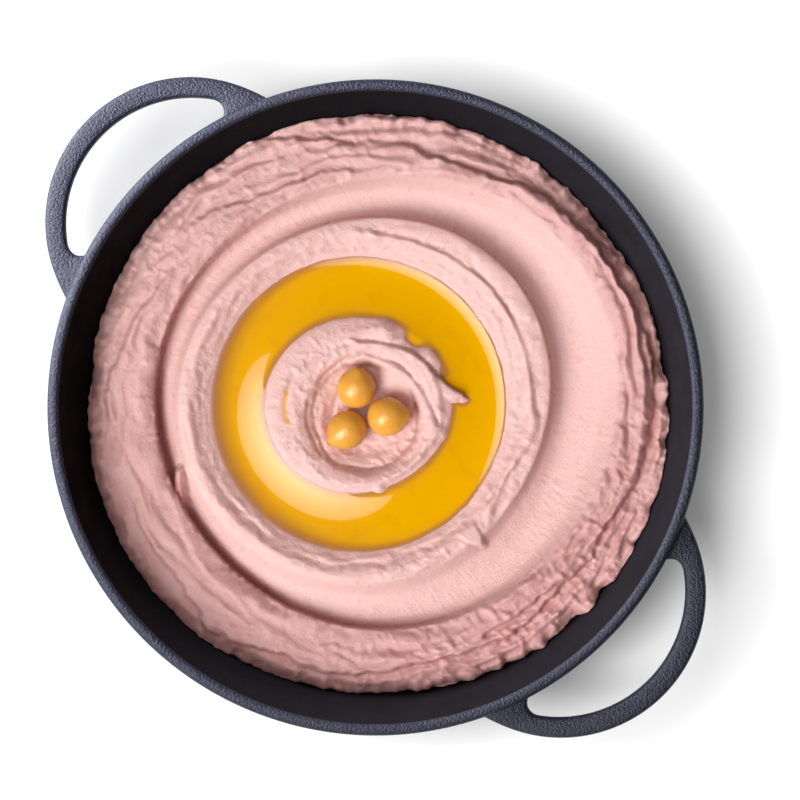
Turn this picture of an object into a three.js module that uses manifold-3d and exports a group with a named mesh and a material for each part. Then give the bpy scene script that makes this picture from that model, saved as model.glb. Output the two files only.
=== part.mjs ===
// A round cast-iron serving pan with two loop handles, filled with a swirled chickpea dip.
// A ring of oil stands in the inner groove of the swirl, and three cooked chickpeas sit in its middle.
// Units are millimetres. +Z is up, the pan stands on z = 0, and the two handles lie along X.
import * as THREE from "three";
import { mergeVertices } from "three/addons/utils/BufferGeometryUtils.js";
import Module from "manifold-3d";

const wasm = await Module();
wasm.setup();

// ---- Driving dimensions ------------------------------------------------------------------------
const RIM_RADIUS = 84; // outside of the rim
const RIM_HEIGHT = 44;
const WALL = 3.1;
const WALL_FLARE = 0.28; // how far the wall leans out for each millimetre of height
const FLOOR = 4;
const LIP_ROUND = 1.4;
const OUTER_CORNER = 9;
const INNER_CORNER = 6;
const PAN_SIDES = 56;

const HANDLE_TOP = 41.4;
const HANDLE_THICKNESS = 5.6;
const HANDLE_EDGE = 1.2; // rounding of the handle's edges
const LOOP_CENTRE = 67.3; // the loop's outer arc
const LOOP_RADIUS = 37.2;
const HOLE_CENTRE = 66.7; // the hole's outer arc
const HOLE_RADIUS = 32.5;
const HOLE_FOOT = 83.2; // the hole's side along the wall
const HOLE_END = 3.6; // rounding of the hole's two ends
const LOOP_FLARE = 62; // degrees round the loop where the bar starts to flare into its root
const ROOT_FLARE = 5.7; // length of the flare
const ROOT_SPAN = 27.5; // degrees from the handle's axis to where its root meets the wall
const ROOT_INSIDE = 81.2; // the root ends within the wall
const HANDLE_STEPS = 11;

const GAP = 0.35; // clearance between touching pieces
const OIL_LEVEL = 25.6;
const INNER_CLIMB = { rise: 1.5, reach: 6.6 }; // how the oil climbs the mound in the middle
const OUTER_CLIMB = { rise: 0.9, reach: 3.2 }; // and the ridge round it
const OIL_REACH = 3; // how far the oil's blank runs past its shores before it is cut
const OIL_SIDES = 60;
const OIL_RINGS = 3;

// Edges of the swirl: mean radius, then [size, degrees] of the waves that repeat 1, 2 and 3 times a turn.
const OUTER_LIP = [60.3, [2.8, 75], [1.0, 72], [0.8, -35]];
const INNER_LIP = [47.0, [3.7, -164], [1.4, 82], [0.5, -26]];
const OUTER_SHORE = [38.1, [4.6, -145]];
const INNER_SHORE = [23.2, [4.7, -143], [1.1, 49]];
const HOLLOW = [13.7, [3.9, -93]]; // the hollow that holds the chickpeas
const DIP_EDGE = [75.8, [0.5, 95], [0.2, 14], [0.45, 22]]; // where the dip meets the wall
const ROUGHNESS = [0.6, [0.3, 40], [0.2, 0]]; // how rough the outer band is round the pan
const STEEP_SIDE = 85; // degrees: where the inner ridge drops steeply into the groove
const TALL_SIDE = 70; // degrees: where the middle mound is tallest

const HOLLOW_FLOOR = 23;
const HOLLOW_RIM = 26.3;
const MOUND_CREST = 28; // on its low side
const MOUND_RISE = 1.1; // how much taller the mound is on its tall side
const BASIN_FLOOR = 23.2; // under the oil
const GROOVE_FLOOR = 23;
const GROOVE_RISE = 1.8; // how much shallower the groove is on its far side
const RIDGE_CREST = 29.2;
const LIP_HEIGHT = 28.8;
const OUTER_CREST = 30;
const EDGE_HEIGHT = 21.5; // lowest height of the dip at the wall

// Folds left by the spoon: path in [degrees, radius], lift of the inner side, drop of the outer side,
// and how far each reaches from the path.
const FOLDS = [
  {
    path: [[273, 70.2], [283, 71.2], [295, 68.6], [303, 69.8], [318, 68.1], [345, 68.4], [362, 66.6],
      [370, 68.2], [376, 67.1], [390, 70], [405, 71.8], [416, 73], [425, 71.8], [436, 70.6], [455, 70.2],
      [467, 67.2], [482, 66.8], [490, 68.6], [504, 65.6]],
    lift: 1.2, drop: 2.4, inner: 2.6, outer: 2.6,
  },
  { path: [[139, 68.1], [146, 71], [153, 73.4], [158, 75.4]], lift: 0.9, drop: 1.2, inner: 2.5, outer: 2 },
  { path: [[73, 70.2], [76, 73.8], [78, 74.3], [83, 70.7]], lift: 0.9, drop: 0.9, inner: 2, outer: 1.5 },
  {
    path: [[135, 61.6], [148, 62.4], [160, 61.6], [167, 63.2], [176, 66.6], [184, 67.6]],
    lift: 0.7, drop: 1, inner: 2.5, outer: 2.2,
  },
  {
    path: [[188, 63.2], [198, 65], [208, 66.8], [220, 69.9], [229, 68.6], [238, 66]],
    lift: 0.7, drop: 0.9, inner: 3, outer: 2.5,
  },
  { path: [[321, 64.5], [335, 66], [352, 65.5], [357, 64.2]], lift: 0.7, drop: 0.9, inner: 2.2, outer: 1.8 },
  {
    path: [[309, 73.8], [317, 72], [324, 70.2], [333, 71], [339, 73.1]],
    lift: 0.5, drop: 0.8, inner: 1.8, outer: 2,
  },
  {
    path: [[357, 42.4], [363, 40.3], [374, 38.4], [386, 39.3], [397, 41.2], [415, 40.8], [435, 42.1],
      [455, 43.2], [475, 43.9], [495, 45.2], [505, 46.5]],
    lift: 1, drop: 1, inner: 2, outer: 1.4,
  },
  { path: [[328, 43.9], [336, 42.6], [348, 40.6]], lift: 0.5, drop: 0.5, inner: 1.5, outer: 1.5 },
  {
    path: [[244, 66.5], [247, 67.7], [252, 68.6], [256, 68.5], [260, 68.1], [265, 67.8], [269, 68.7],
      [273, 69.8], [277, 71.9], [280, 72.3], [284, 71.2]],
    lift: 0.6, drop: 1, inner: 2.6, outer: 1.8,
  },
  {
    path: [[246, 60.2], [252, 59.6], [261, 60.8], [270, 61.8], [278, 62], [286, 63.4]],
    lift: 0.4, drop: 0.6, inner: 1.4, outer: 1.6,
  },
  {
    path: [[336, 66], [344, 64.9], [349, 65.1], [354, 65.1], [360, 65.2], [363, 66.6], [368, 67.6]],
    lift: 0.7, drop: 1.2, inner: 1.6, outer: 1.6,
  },
  {
    path: [[331, 68.4], [336, 69.2], [340, 69.4], [344, 68.8], [349, 68.6], [353, 68.7]],
    lift: 0.6, drop: 1.1, inner: 1.4, outer: 1.6,
  },
  { path: [[370, 72.6], [374, 73], [378, 72.6], [384, 73.4]], lift: 0.8, drop: 1.2, inner: 1.6, outer: 1.4 },
  {
    path: [[54, 21.8], [57, 19.8], [65, 18.4], [75, 17.6], [90, 17.3], [105, 16.8], [120, 16.6], [135, 16.8],
      [148, 17.4], [156, 19.2]],
    lift: 0.7, drop: 1.4, inner: 1.6, outer: 1.4,
  },
];

// Creases that wind round the middle mound and under the outer lip: path, depth and width.
const CREASES = [
  { path: [[216, 17.7], [231, 18.1], [243, 18.4], [257, 18.7], [270, 19.2]], depth: 1, width: 0.55 },
  {
    path: [[204, 15.9], [198, 16.2], [182, 15.2], [165, 14.6], [150, 14.2], [142, 13.9], [121, 12.9],
      [103, 12.5], [84, 12.4], [67, 13], [48, 14.3], [37, 15.6], [31, 16.6], [20, 17.2]],
    depth: 1.3, width: 0.7,
  },
  { path: [[196, 21.4], [188, 20.6], [180, 19.8], [165, 18.6], [157, 17.8]], depth: 0.6, width: 0.8 },
  { path: [[45, 12.5], [26, 13.2], [10, 14.6], [-6, 15.6], [-22, 16.6]], depth: 0.6, width: 0.7 },
  { path: [[200, 22.5], [212, 23.4], [225, 23.6], [238, 23]], depth: 0.5, width: 0.7 },
  {
    path: [[208, 15.6], [211, 15.8], [225, 16.3], [240, 16.6], [255, 17], [270, 17.9], [280, 17.8],
      [293, 16.7], [309, 15.8], [325, 15.4], [338, 15]],
    depth: 0.7, width: 0.4,
  },
  {
    path: [[208, 58.6], [218, 57.8], [228, 57.2], [238, 56.6], [248, 56.3], [256, 56.2], [265, 56.2],
      [275, 56.4], [285, 56.9], [296, 57.6]],
    depth: 2, width: 1.6,
  },
];

// Lumps and pits at the mound's shore: place in [degrees, radius], reach and height.
const LUMPS = [
  { at: [87, 19.6], reach: 1.9, height: 1 },
  { at: [105, 21], reach: 2.3, height: -2.6 },
  { at: [63, 21], reach: 1.6, height: -2.6 },
  { at: [24, 18.6], reach: 1.6, height: 0.8 },
  { at: [128, 20.6], reach: 2.6, height: 1.2 },
  { at: [318, 21.6], reach: 1.4, height: 1 },
];

// Tails where the spoon left the dip: path, width at the root, height at the root and at the tip,
// and how much steeper the left side is than the right.
const TAILS = [
  {
    path: [[140, 16.2], [125, 15.5], [108, 15.1], [92, 15.3], [79, 16.1], [69, 17.3], [60.5, 19],
      [56, 20.6], [53.4, 22.4]],
    width: 6, from: 29.3, to: 28.4, lean: 0.6,
  },
  {
    path: [[255, 58.8], [250.5, 57.2], [247, 55.7], [244.6, 54.6], [242.8, 53.5]],
    width: 4, from: 29.9, to: 28.6, lean: 0,
  },
  { path: [[351.8, 38.4], [352, 40.6], [352.4, 42.6], [352.7, 44.7]], width: 8, from: 29.9, to: 29.3, lean: 0 },
];

// Cooked chickpeas: place, radius, the direction of the beak, and its tilt above level.
const CHICKPEAS = [
  { name: "chickpea_1", at: [-7.1, -0.1], radius: 5.25, beak: [131, 28] },
  { name: "chickpea_2", at: [-1.2, -9.55], radius: 5.2, beak: [262, 12] },
  { name: "chickpea_3", at: [3.8, 0.45], radius: 5.35, beak: [48, 8] },
];
const CHICKPEA_SINK = 1.6; // how deep each is pressed into the dip
const BEAK = 0.27; // length of the beak, as a share of the radius
const BEAK_SPREAD = 46; // degrees from the beak's tip to where it starts
const SEAM = 0.03; // depth and width of the crease between the halves, as shares of the radius
const SEAM_WIDTH = 0.2;
const SQUASH = [0.97, 0.98]; // breadth and height, as shares of the length without the beak
const CHICKPEA_SIDES = 16;
const CHICKPEA_BANDS = 11;

// ---- Small helpers -----------------------------------------------------------------------------
const radians = (degrees) => (degrees * Math.PI) / 180;
const clamp = (value, low, high) => Math.min(high, Math.max(low, value));
const mix = (a, b, share) => a + (b - a) * share;
const polar = ([degrees, radius]) => [radius * Math.cos(radians(degrees)), radius * Math.sin(radians(degrees))];

function smooth(share) {
  const t = clamp(share, 0, 1);
  return t * t * (3 - 2 * t);
}

// Radius of a swirl edge at an angle.
function edge([mean, ...waves], angle) {
  const wave = ([size, degrees], i) => size * Math.cos((i + 1) * (angle - radians(degrees)));
  return waves.reduce((sum, each, i) => sum + wave(each, i), mean);
}

// 1 on the side of the pan that lies in a direction, falling to 0 on the far side.
const facing = (angle, degrees) => 0.5 + 0.5 * Math.cos(angle - radians(degrees));

// Smooth random swells from about -1 to 1, a cell a unit, the same on every run.
// They repeat after a number of cells of x, if one is given.
function swells(x, y, seed, around = 0) {
  const i = Math.floor(x);
  const j = Math.floor(y);
  const slope = (di, dj) => {
    const cell = around ? (((i + di) % around) + around) % around : i + di;
    const draw = Math.sin(cell * 127.1 + (j + dj) * 311.7 + seed * 74.7) * 43758.5453;
    const turn = 2 * Math.PI * (draw - Math.floor(draw));
    return Math.cos(turn) * (x - i - di) + Math.sin(turn) * (y - j - dj);
  };
  const low = mix(slope(0, 0), slope(1, 0), smooth(x - i));
  const high = mix(slope(0, 1), slope(1, 1), smooth(x - i));
  return 1.5 * mix(low, high, smooth(y - j));
}

// Rounded puffs with creases between them, from swells: 0 in a crease and up to about 1.
const PUFF_SOFTNESS = 0.02;
const puffs = (field) => Math.sqrt(field * field + PUFF_SOFTNESS) - Math.sqrt(PUFF_SOFTNESS);

// A curve through [radius, height] stations that never overshoots them.
function throughStations(stations, radius) {
  const last = stations.length - 1;
  const gaps = [];
  const slopes = [];
  for (let i = 0; i < last; i++) {
    stations[i + 1][0] = Math.max(stations[i + 1][0], stations[i][0] + 0.05);
    gaps.push(stations[i + 1][0] - stations[i][0]);
    slopes.push((stations[i + 1][1] - stations[i][1]) / gaps[i]);
  }
  const tangent = (i) => {
    if (i === 0) return 0;
    if (i === last) return slopes[last - 1];
    if (slopes[i - 1] * slopes[i] <= 0) return 0;
    const before = 2 * gaps[i] + gaps[i - 1];
    const after = gaps[i] + 2 * gaps[i - 1];
    return (before + after) / (before / slopes[i - 1] + after / slopes[i]);
  };
  let i = 0;
  while (i < last - 1 && radius >= stations[i + 1][0]) i++;
  const t = clamp((radius - stations[i][0]) / gaps[i], 0, 1);
  return (
    (2 * t ** 3 - 3 * t ** 2 + 1) * stations[i][1] +
    (t ** 3 - 2 * t ** 2 + t) * gaps[i] * tangent(i) +
    (3 * t ** 2 - 2 * t ** 3) * stations[i + 1][1] +
    (t ** 3 - t ** 2) * gaps[i] * tangent(i + 1)
  );
}

// Stations of a hollow between two edges, lowest at a share of the way across.
function trough(radiusA, heightA, radiusB, heightB, low, share) {
  const bottom = mix(radiusA, radiusB, share);
  return [
    [mix(bottom, radiusA, 0.55), mix(low, heightA, 0.24)],
    [bottom, low],
    [mix(bottom, radiusB, 0.55), mix(low, heightB, 0.24)],
  ];
}

// A smooth path through polar points, as a list of [x, y] with the length run so far.
function trace(path) {
  const points = path.map((p) => new THREE.Vector2(...polar(p)));
  return new THREE.SplineCurve(points).getPoints(path.length * 4);
}

// Distance from a traced path, positive on its left, and the share of the path passed.
function beside(points, x, y) {
  let best = { distance: Infinity, side: 0, share: 0 };
  for (let i = 0; i + 1 < points.length; i++) {
    const a = points[i];
    const run = points[i + 1].clone().sub(a);
    const t = clamp(((x - a.x) * run.x + (y - a.y) * run.y) / run.lengthSq(), 0, 1);
    const dx = x - a.x - t * run.x;
    const dy = y - a.y - t * run.y;
    const distance = Math.hypot(dx, dy);
    if (distance < best.distance) {
      const side = Math.sign(run.x * dy - run.y * dx) * distance;
      best = { distance, side, share: (i + t) / (points.length - 1) };
    }
  }
  return best;
}

// ---- The dip's surface -------------------------------------------------------------------------
const FOLD_TRACES = FOLDS.map((fold) => trace(fold.path));
const TAIL_TRACES = TAILS.map((tail) => trace(tail.path));
const CREASE_TRACES = CREASES.map((crease) => trace(crease.path));
const FOLD_SOFTNESS = 0.5; // width of the step at a fold
const TAPER = 0.12; // share of a fold or crease over which each end fades out
const TAIL_SLOPE = 2.2; // how steeply a tail's sides fall
const TAIL_START = 0.3; // share of a tail over which it rises out of the dip

const outerWall = (z) => RIM_RADIUS - WALL_FLARE * (RIM_HEIGHT - LIP_ROUND - z);
const innerWall = (z) => outerWall(z) - WALL;

// Radius where the dip ends at the wall, with lumps.
function dipEdge(angle) {
  const turns = angle / (2 * Math.PI);
  const fine = edge(ROUGHNESS, angle) ** 2 * swells(turns * 90, 0, 72, 90);
  const lumps = 0.6 * swells(turns * 37, 0, 71, 37) + fine;
  return Math.min(edge(DIP_EDGE, angle) + lumps, innerWall(OUTER_CREST - 1.5) - GAP);
}

// Height of the dip's edge, which rides up the flared wall where it reaches out far.
function edgeHeight(radius) {
  return Math.max(EDGE_HEIGHT, RIM_HEIGHT - LIP_ROUND - (RIM_RADIUS - WALL - GAP - radius) / WALL_FLARE);
}

// Height of the swirl alone, before folds, lumps and tails. Its profile runs through stations from
// the middle out, each set off a little from the nearest edge of the swirl.
function swirlHeight(angle, radius) {
  const innerShore = edge(INNER_SHORE, angle);
  const outerShore = edge(OUTER_SHORE, angle);
  const innerLip = edge(INNER_LIP, angle);
  const outerLip = edge(OUTER_LIP, angle);
  const steep = facing(angle, STEEP_SIDE);
  const tall = facing(angle, TALL_SIDE);
  const rim = edge(HOLLOW, angle);
  const end = dipEdge(angle);
  const innerTop = OIL_LEVEL + INNER_CLIMB.rise;
  const outerTop = OIL_LEVEL + OUTER_CLIMB.rise;
  const grooveFloor = GROOVE_FLOOR + GROOVE_RISE * (1 - steep);
  const stations = [
    [0, HOLLOW_FLOOR],
    [rim - 6, HOLLOW_FLOOR + 0.1],
    [rim - 2.2, HOLLOW_FLOOR + 0.2 + 1.8 * (1 - tall)],
    [rim - 0.5, HOLLOW_FLOOR + 0.9 + 1.7 * (1 - tall)],
    [rim + 0.4, HOLLOW_RIM + 0.6 * tall],
    [rim + 1.8, MOUND_CREST - 0.5 + MOUND_RISE * tall],
    [mix(rim, innerShore, 0.6), MOUND_CREST + MOUND_RISE * tall],
    [innerShore - 1.2, innerTop + 0.6],
    [innerShore, innerTop],
    ...trough(innerShore, innerTop, outerShore, outerTop, BASIN_FLOOR, 0.5),
    [outerShore, outerTop],
    [mix(outerShore, innerLip, 0.45), RIDGE_CREST - 1.1],
    [innerLip - 2.2, RIDGE_CREST],
    [innerLip - 0.2, LIP_HEIGHT],
    ...trough(innerLip - 0.2, LIP_HEIGHT, outerLip, LIP_HEIGHT, grooveFloor, 0.87 - 0.67 * steep),
    [outerLip, LIP_HEIGHT + 0.5 * (1 - steep)],
    [outerLip + 2.5, OUTER_CREST],
    [outerLip + 6, OUTER_CREST - 0.2],
    [end - 4.4, OUTER_CREST - 1.6],
    [end - 1.5, (OUTER_CREST + 2 * edgeHeight(end)) / 3],
    [end, edgeHeight(end)],
  ];
  return throughStations(stations, radius);
}

function foldHeight(x, y) {
  return FOLDS.reduce((sum, fold, k) => {
    const { distance, side, share } = beside(FOLD_TRACES[k], x, y);
    const ends = smooth(Math.min(share, 1 - share) / TAPER);
    const step = Math.tanh(distance / FOLD_SOFTNESS) * ends;
    const lift = fold.lift * Math.exp(-distance / fold.inner);
    const drop = fold.drop * Math.exp(-distance / fold.outer);
    return sum + step * (side > 0 ? lift : -drop);
  }, 0);
}

function lumpHeight(x, y) {
  return LUMPS.reduce((sum, { at, reach, height }) => {
    const [lumpX, lumpY] = polar(at);
    return sum + height * Math.exp(-((Math.hypot(x - lumpX, y - lumpY) / reach) ** 2));
  }, 0);
}

function creaseDepth(x, y) {
  return CREASES.reduce((sum, { depth, width }, k) => {
    const { distance, share } = beside(CREASE_TRACES[k], x, y);
    return sum + depth * Math.exp(-distance / width) * smooth(Math.min(share, 1 - share) / TAPER);
  }, 0);
}

function tailHeight(x, y, height) {
  return TAILS.reduce((top, tail, k) => {
    const { distance, side, share } = beside(TAIL_TRACES[k], x, y);
    const width = tail.width * (1 - share) ** 0.7 + 0.15;
    const away = distance + tail.lean * side - width * 0.35;
    const crest = mix(tail.from, tail.to, share) - TAIL_SLOPE * Math.max(0, away);
    return top + Math.max(0, crest - top) * smooth(share / TAIL_START);
  }, height);
}

// Strands that run along the swirl in the rough outer band and on the inner ridge. Their cells are
// counted round the pan and measured in millimetres across it, and lanes drift as a spoon's edge does.
function strandHeight(x, y, angle, radius) {
  const turns = angle / (2 * Math.PI);
  const outside = smooth((radius - edge(OUTER_LIP, angle) + 1) / 2.5);
  const ridge =
    smooth((edge(INNER_LIP, angle) + 0.5 - radius) / 2) * smooth((radius - edge(OUTER_SHORE, angle)) / 2);
  const lively = edge(ROUGHNESS, angle);
  const drift = 1.4 * swells(x / 11, y / 11, 31) + 0.7 * swells(x / 4.5, y / 4.5, 32);
  const lane = radius - 0.7 * (edge(OUTER_LIP, angle) - OUTER_LIP[0]) + drift;
  const innerLane = radius - 0.9 * (edge(INNER_LIP, angle) - INNER_LIP[0]) + 0.5 * drift;
  const long = 1.1 * puffs(swells(turns * 19, lane / 4.6, 41, 19)) - 0.9;
  const ropes = lively * (2.4 * puffs(swells(turns * 13, lane / 3.3, 47, 13)) + 0.5);
  const inner = 0.9 * puffs(swells(turns * 24, innerLane / 2.6, 43, 24)) - 0.2;
  return outside * (long + ropes) + ridge * (0.3 + 0.7 * lively) * inner;
}

function dipHeight(angle, radius) {
  const x = radius * Math.cos(angle);
  const y = radius * Math.sin(angle);
  const swirl = swirlHeight(angle, radius) + lumpHeight(x, y);
  const height = swirl + foldHeight(x, y) + strandHeight(x, y, angle, radius);
  return tailHeight(x, y, height) - creaseDepth(x, y);
}

// ---- Solids ------------------------------------------------------------------------------------
function toManifold(geometry) {
  const bare = geometry.clone();
  bare.deleteAttribute("normal");
  bare.deleteAttribute("uv");
  const merged = mergeVertices(bare, 1e-3);
  const corners = merged.index.array;
  const faces = [];
  for (let i = 0; i < corners.length; i += 3) {
    const [a, b, c] = corners.slice(i, i + 3);
    if (a !== b && b !== c && c !== a) faces.push(a, b, c);
  }
  return new wasm.Manifold(
    new wasm.Mesh({
      numProp: 3,
      vertProperties: new Float32Array(merged.attributes.position.array),
      triVerts: new Uint32Array(faces),
    }),
  );
}

function toGeometry(manifold) {
  const mesh = manifold.getMesh();
  const geometry = new THREE.BufferGeometry();
  geometry.setAttribute("position", new THREE.BufferAttribute(new Float32Array(mesh.vertProperties), 3));
  geometry.setIndex(new THREE.BufferAttribute(new Uint32Array(mesh.triVerts), 1));
  return geometry;
}

// Closes a stack of rings of points, each of its own count, with a point at either end.
// The rings run from the top's middle outwards and then down and inwards to the bottom's middle.
function closeRings(top, rings, bottom) {
  const points = [top, ...rings.flat(), bottom];
  const faces = [];
  let start = 1;
  rings[0].forEach((_, i) => faces.push([0, start + i, start + ((i + 1) % rings[0].length)]));
  for (let k = 0; k + 1 < rings.length; k++) {
    const a = rings[k].length;
    const b = rings[k + 1].length;
    const next = start + a;
    for (let i = 0, j = 0; i < a || j < b; ) {
      const here = [start + (i % a), next + (j % b)];
      if (j >= b || (i < a && (i + 1) / a < (j + 1) / b)) {
        i++;
        faces.push([here[0], here[1], start + (i % a)]);
      } else {
        j++;
        faces.push([here[0], here[1], next + (j % b)]);
      }
    }
    start = next;
  }
  const last = rings[rings.length - 1].length;
  for (let i = 0; i < last; i++) faces.push([start + i, points.length - 1, start + ((i + 1) % last)]);
  const geometry = new THREE.BufferGeometry();
  geometry.setAttribute("position", new THREE.Float32BufferAttribute(points.flat(), 3));
  geometry.setIndex(faces.flat());
  return geometry;
}

// ---- The pan -----------------------------------------------------------------------------------
function panProfile() {
  const path = new THREE.Path();
  const lean = Math.atan(WALL_FLARE);
  path.moveTo(0, 0);
  const footRadius = outerWall(0) - OUTER_CORNER * 0.85;
  path.lineTo(footRadius, 0);
  path.absarc(footRadius, OUTER_CORNER, OUTER_CORNER, -Math.PI / 2, -lean, false);
  path.lineTo(outerWall(RIM_HEIGHT - LIP_ROUND), RIM_HEIGHT - LIP_ROUND);
  path.absarc(RIM_RADIUS - LIP_ROUND, RIM_HEIGHT - LIP_ROUND, LIP_ROUND, 0, Math.PI / 2, false);
  const innerLip = innerWall(RIM_HEIGHT - LIP_ROUND);
  path.absarc(innerLip + LIP_ROUND, RIM_HEIGHT - LIP_ROUND, LIP_ROUND, Math.PI / 2, Math.PI, false);
  const floorRadius = innerWall(FLOOR) - INNER_CORNER * 0.8;
  path.absarc(floorRadius, FLOOR + INNER_CORNER, INNER_CORNER, -lean, -Math.PI / 2, true);
  path.lineTo(0, FLOOR);
  return path.getPoints(2);
}

// Both edges of half a handle seen from above, from the root in the wall to the middle of the loop.
function handleEdges() {
  const arcEnd = radians(LOOP_FLARE);
  const root = polar([ROOT_SPAN, ROOT_INSIDE]);
  const bend = [LOOP_CENTRE + LOOP_RADIUS * Math.cos(arcEnd), LOOP_RADIUS * Math.sin(arcEnd)];
  const flare = [bend[0] - ROOT_FLARE * Math.sin(arcEnd), bend[1] + ROOT_FLARE * Math.cos(arcEnd)];
  const outer = new THREE.Path().moveTo(...root);
  outer.quadraticCurveTo(...flare, ...bend);
  outer.absarc(LOOP_CENTRE, 0, LOOP_RADIUS, arcEnd, 0, true);

  // The hole's round end touches both the wall and the hole's outer arc.
  const reach = HOLE_FOOT + HOLE_END;
  const endX = (reach ** 2 - (HOLE_RADIUS - HOLE_END) ** 2 + HOLE_CENTRE ** 2) / (2 * HOLE_CENTRE);
  const endY = Math.sqrt(reach ** 2 - endX ** 2);
  const footAngle = Math.atan2(endY, endX);
  const inner = new THREE.Path().moveTo(...polar([(footAngle * 180) / Math.PI, ROOT_INSIDE]));
  inner.absarc(endX, endY, HOLE_END, footAngle + Math.PI, Math.atan2(endY, endX - HOLE_CENTRE), true);
  inner.absarc(HOLE_CENTRE, 0, HOLE_RADIUS, Math.atan2(endY, endX - HOLE_CENTRE), 0, true);
  return [inner.getSpacedPoints(HANDLE_STEPS), outer.getSpacedPoints(HANDLE_STEPS)];
}

// One loop handle on +X: a flat bar with rounded edges, swept from wall to wall.
function handle() {
  const [inner, outer] = handleEdges();
  const section = [];
  const low = HANDLE_TOP - HANDLE_THICKNESS;
  for (const [side, level, start] of [[0, 0, 180], [1, 0, 270], [1, 1, 0], [0, 1, 90]]) {
    for (const turn of [0, 45, 90]) {
      const angle = radians(start + turn);
      const inset = HANDLE_EDGE * (side ? -1 : 1) + HANDLE_EDGE * Math.cos(angle);
      const height = HANDLE_EDGE * (level ? -1 : 1) + HANDLE_EDGE * Math.sin(angle);
      section.push([side, inset, low + level * HANDLE_THICKNESS + height]);
    }
  }
  const ringBetween = (a, b, flip) => {
    const across = b.clone().sub(a).normalize();
    return section.map(([side, inset, z]) => {
      const foot = (side ? b : a).clone().addScaledVector(across, inset);
      return [foot.x, flip * foot.y, z];
    });
  };
  const rings = inner.map((a, i) => ringBetween(a, outer[i], -1));
  for (let i = HANDLE_STEPS - 1; i >= 0; i--) rings.push(ringBetween(inner[i], outer[i], 1));
  const middle = (ring) => [0, 1, 2].map((k) => ring.reduce((sum, p) => sum + p[k], 0) / ring.length);
  return closeRings(middle(rings[0]), rings, middle(rings[rings.length - 1]));
}

function pan() {
  return toManifold(new THREE.LatheGeometry(panProfile(), PAN_SIDES).rotateX(Math.PI / 2));
}

// Everything within the pan's outer wall and a little round it, which trims the roots of the handles.
function wallBlank() {
  const profile = [
    [0, -GAP],
    [outerWall(-GAP) + GAP, -GAP],
    [outerWall(RIM_HEIGHT) + GAP, RIM_HEIGHT],
    [0, RIM_HEIGHT],
  ];
  const points = profile.map((p) => new THREE.Vector2(...p));
  return toManifold(new THREE.LatheGeometry(points, PAN_SIDES).rotateX(Math.PI / 2));
}

function handleOn(side) {
  return toManifold(handle()).subtract(wallBlank()).rotate([0, 0, side === "right" ? 0 : 180]);
}

// ---- The dip, the oil and the chickpeas --------------------------------------------------------
const RINGS = [
  // from edge, to edge, rings between them
  [() => 0, (a) => edge(HOLLOW, a) - 0.5, 3],
  [(a) => edge(HOLLOW, a) - 0.5, (a) => edge(HOLLOW, a) + 1.8, 2],
  [(a) => edge(HOLLOW, a) + 1.8, (a) => edge(INNER_SHORE, a), 5],
  [(a) => edge(INNER_SHORE, a), (a) => edge(OUTER_SHORE, a), 5],
  [(a) => edge(OUTER_SHORE, a), (a) => edge(INNER_LIP, a) - 0.2, 5],
  [(a) => edge(INNER_LIP, a) - 0.2, (a) => edge(OUTER_LIP, a), 7],
  [(a) => edge(OUTER_LIP, a), dipEdge, 9],
];
const POINT_SPACING = 2.9; // along a ring
const FEWEST_POINTS = 12; // on the smallest ring

// The dip down to the pan's floor; lifted raises its top, to cut what lies on it.
function dip(lifted = 0) {
  const rings = [];
  for (const [from, to, count] of RINGS) {
    for (let k = 1; k <= count; k++) {
      const radiusAt = (angle) => mix(from(angle), to(angle), k / count);
      const points = Math.max(FEWEST_POINTS, Math.round((2 * Math.PI * radiusAt(0)) / POINT_SPACING));
      const ring = [];
      for (let i = 0; i < points; i++) {
        const angle = (2 * Math.PI * i) / points;
        let radius = radiusAt(angle);
        const z = dipHeight(angle, radius) + lifted;
        radius = Math.min(radius, innerWall(z) - GAP);
        ring.push([radius * Math.cos(angle), radius * Math.sin(angle), z]);
      }
      rings.push(ring);
    }
  }
  const sides = rings[rings.length - 1].length;
  const level = (z, radius) =>
    Array.from({ length: sides }, (_, i) => {
      const angle = (2 * Math.PI * i) / sides;
      return [radius * Math.cos(angle), radius * Math.sin(angle), z];
    });
  const knee = FLOOR + INNER_CORNER;
  rings.push(level(knee, innerWall(knee) - 2 * GAP));
  rings.push(level(FLOOR + 1.6, innerWall(FLOOR) - 0.45 * INNER_CORNER));
  rings.push(level(FLOOR + GAP, innerWall(FLOOR) - INNER_CORNER));
  return toManifold(closeRings([0, 0, HOLLOW_FLOOR + lifted], rings, [0, 0, FLOOR + GAP]));
}

// A ball drawn out into a short beak, with the seam of the two halves as a shallow crease.
function chickpea({ at, radius, beak: [heading, tilt] }, grow = 0) {
  const geometry = new THREE.SphereGeometry(1, CHICKPEA_SIDES, CHICKPEA_BANDS);
  geometry.rotateZ(-Math.PI / 2);
  const place = geometry.attributes.position;
  for (let i = 0; i < place.count; i++) {
    const p = new THREE.Vector3().fromBufferAttribute(place, i).normalize();
    const turned = Math.acos(Math.min(1, p.x)) / radians(BEAK_SPREAD);
    const beak = BEAK * Math.max(0, 1 - turned) ** 2;
    const seam = SEAM * Math.exp(-((p.z / SEAM_WIDTH) ** 2)) * smooth(p.x + 0.3);
    p.multiplyScalar((1 + beak - seam) * radius + grow);
    place.setXYZ(i, p.x, p.y * SQUASH[0], p.z * SQUASH[1]);
  }
  geometry.rotateY(-radians(tilt)).rotateZ(radians(heading));
  return toManifold(geometry.translate(at[0], at[1], HOLLOW_FLOOR + radius - CHICKPEA_SINK));
}

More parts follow.
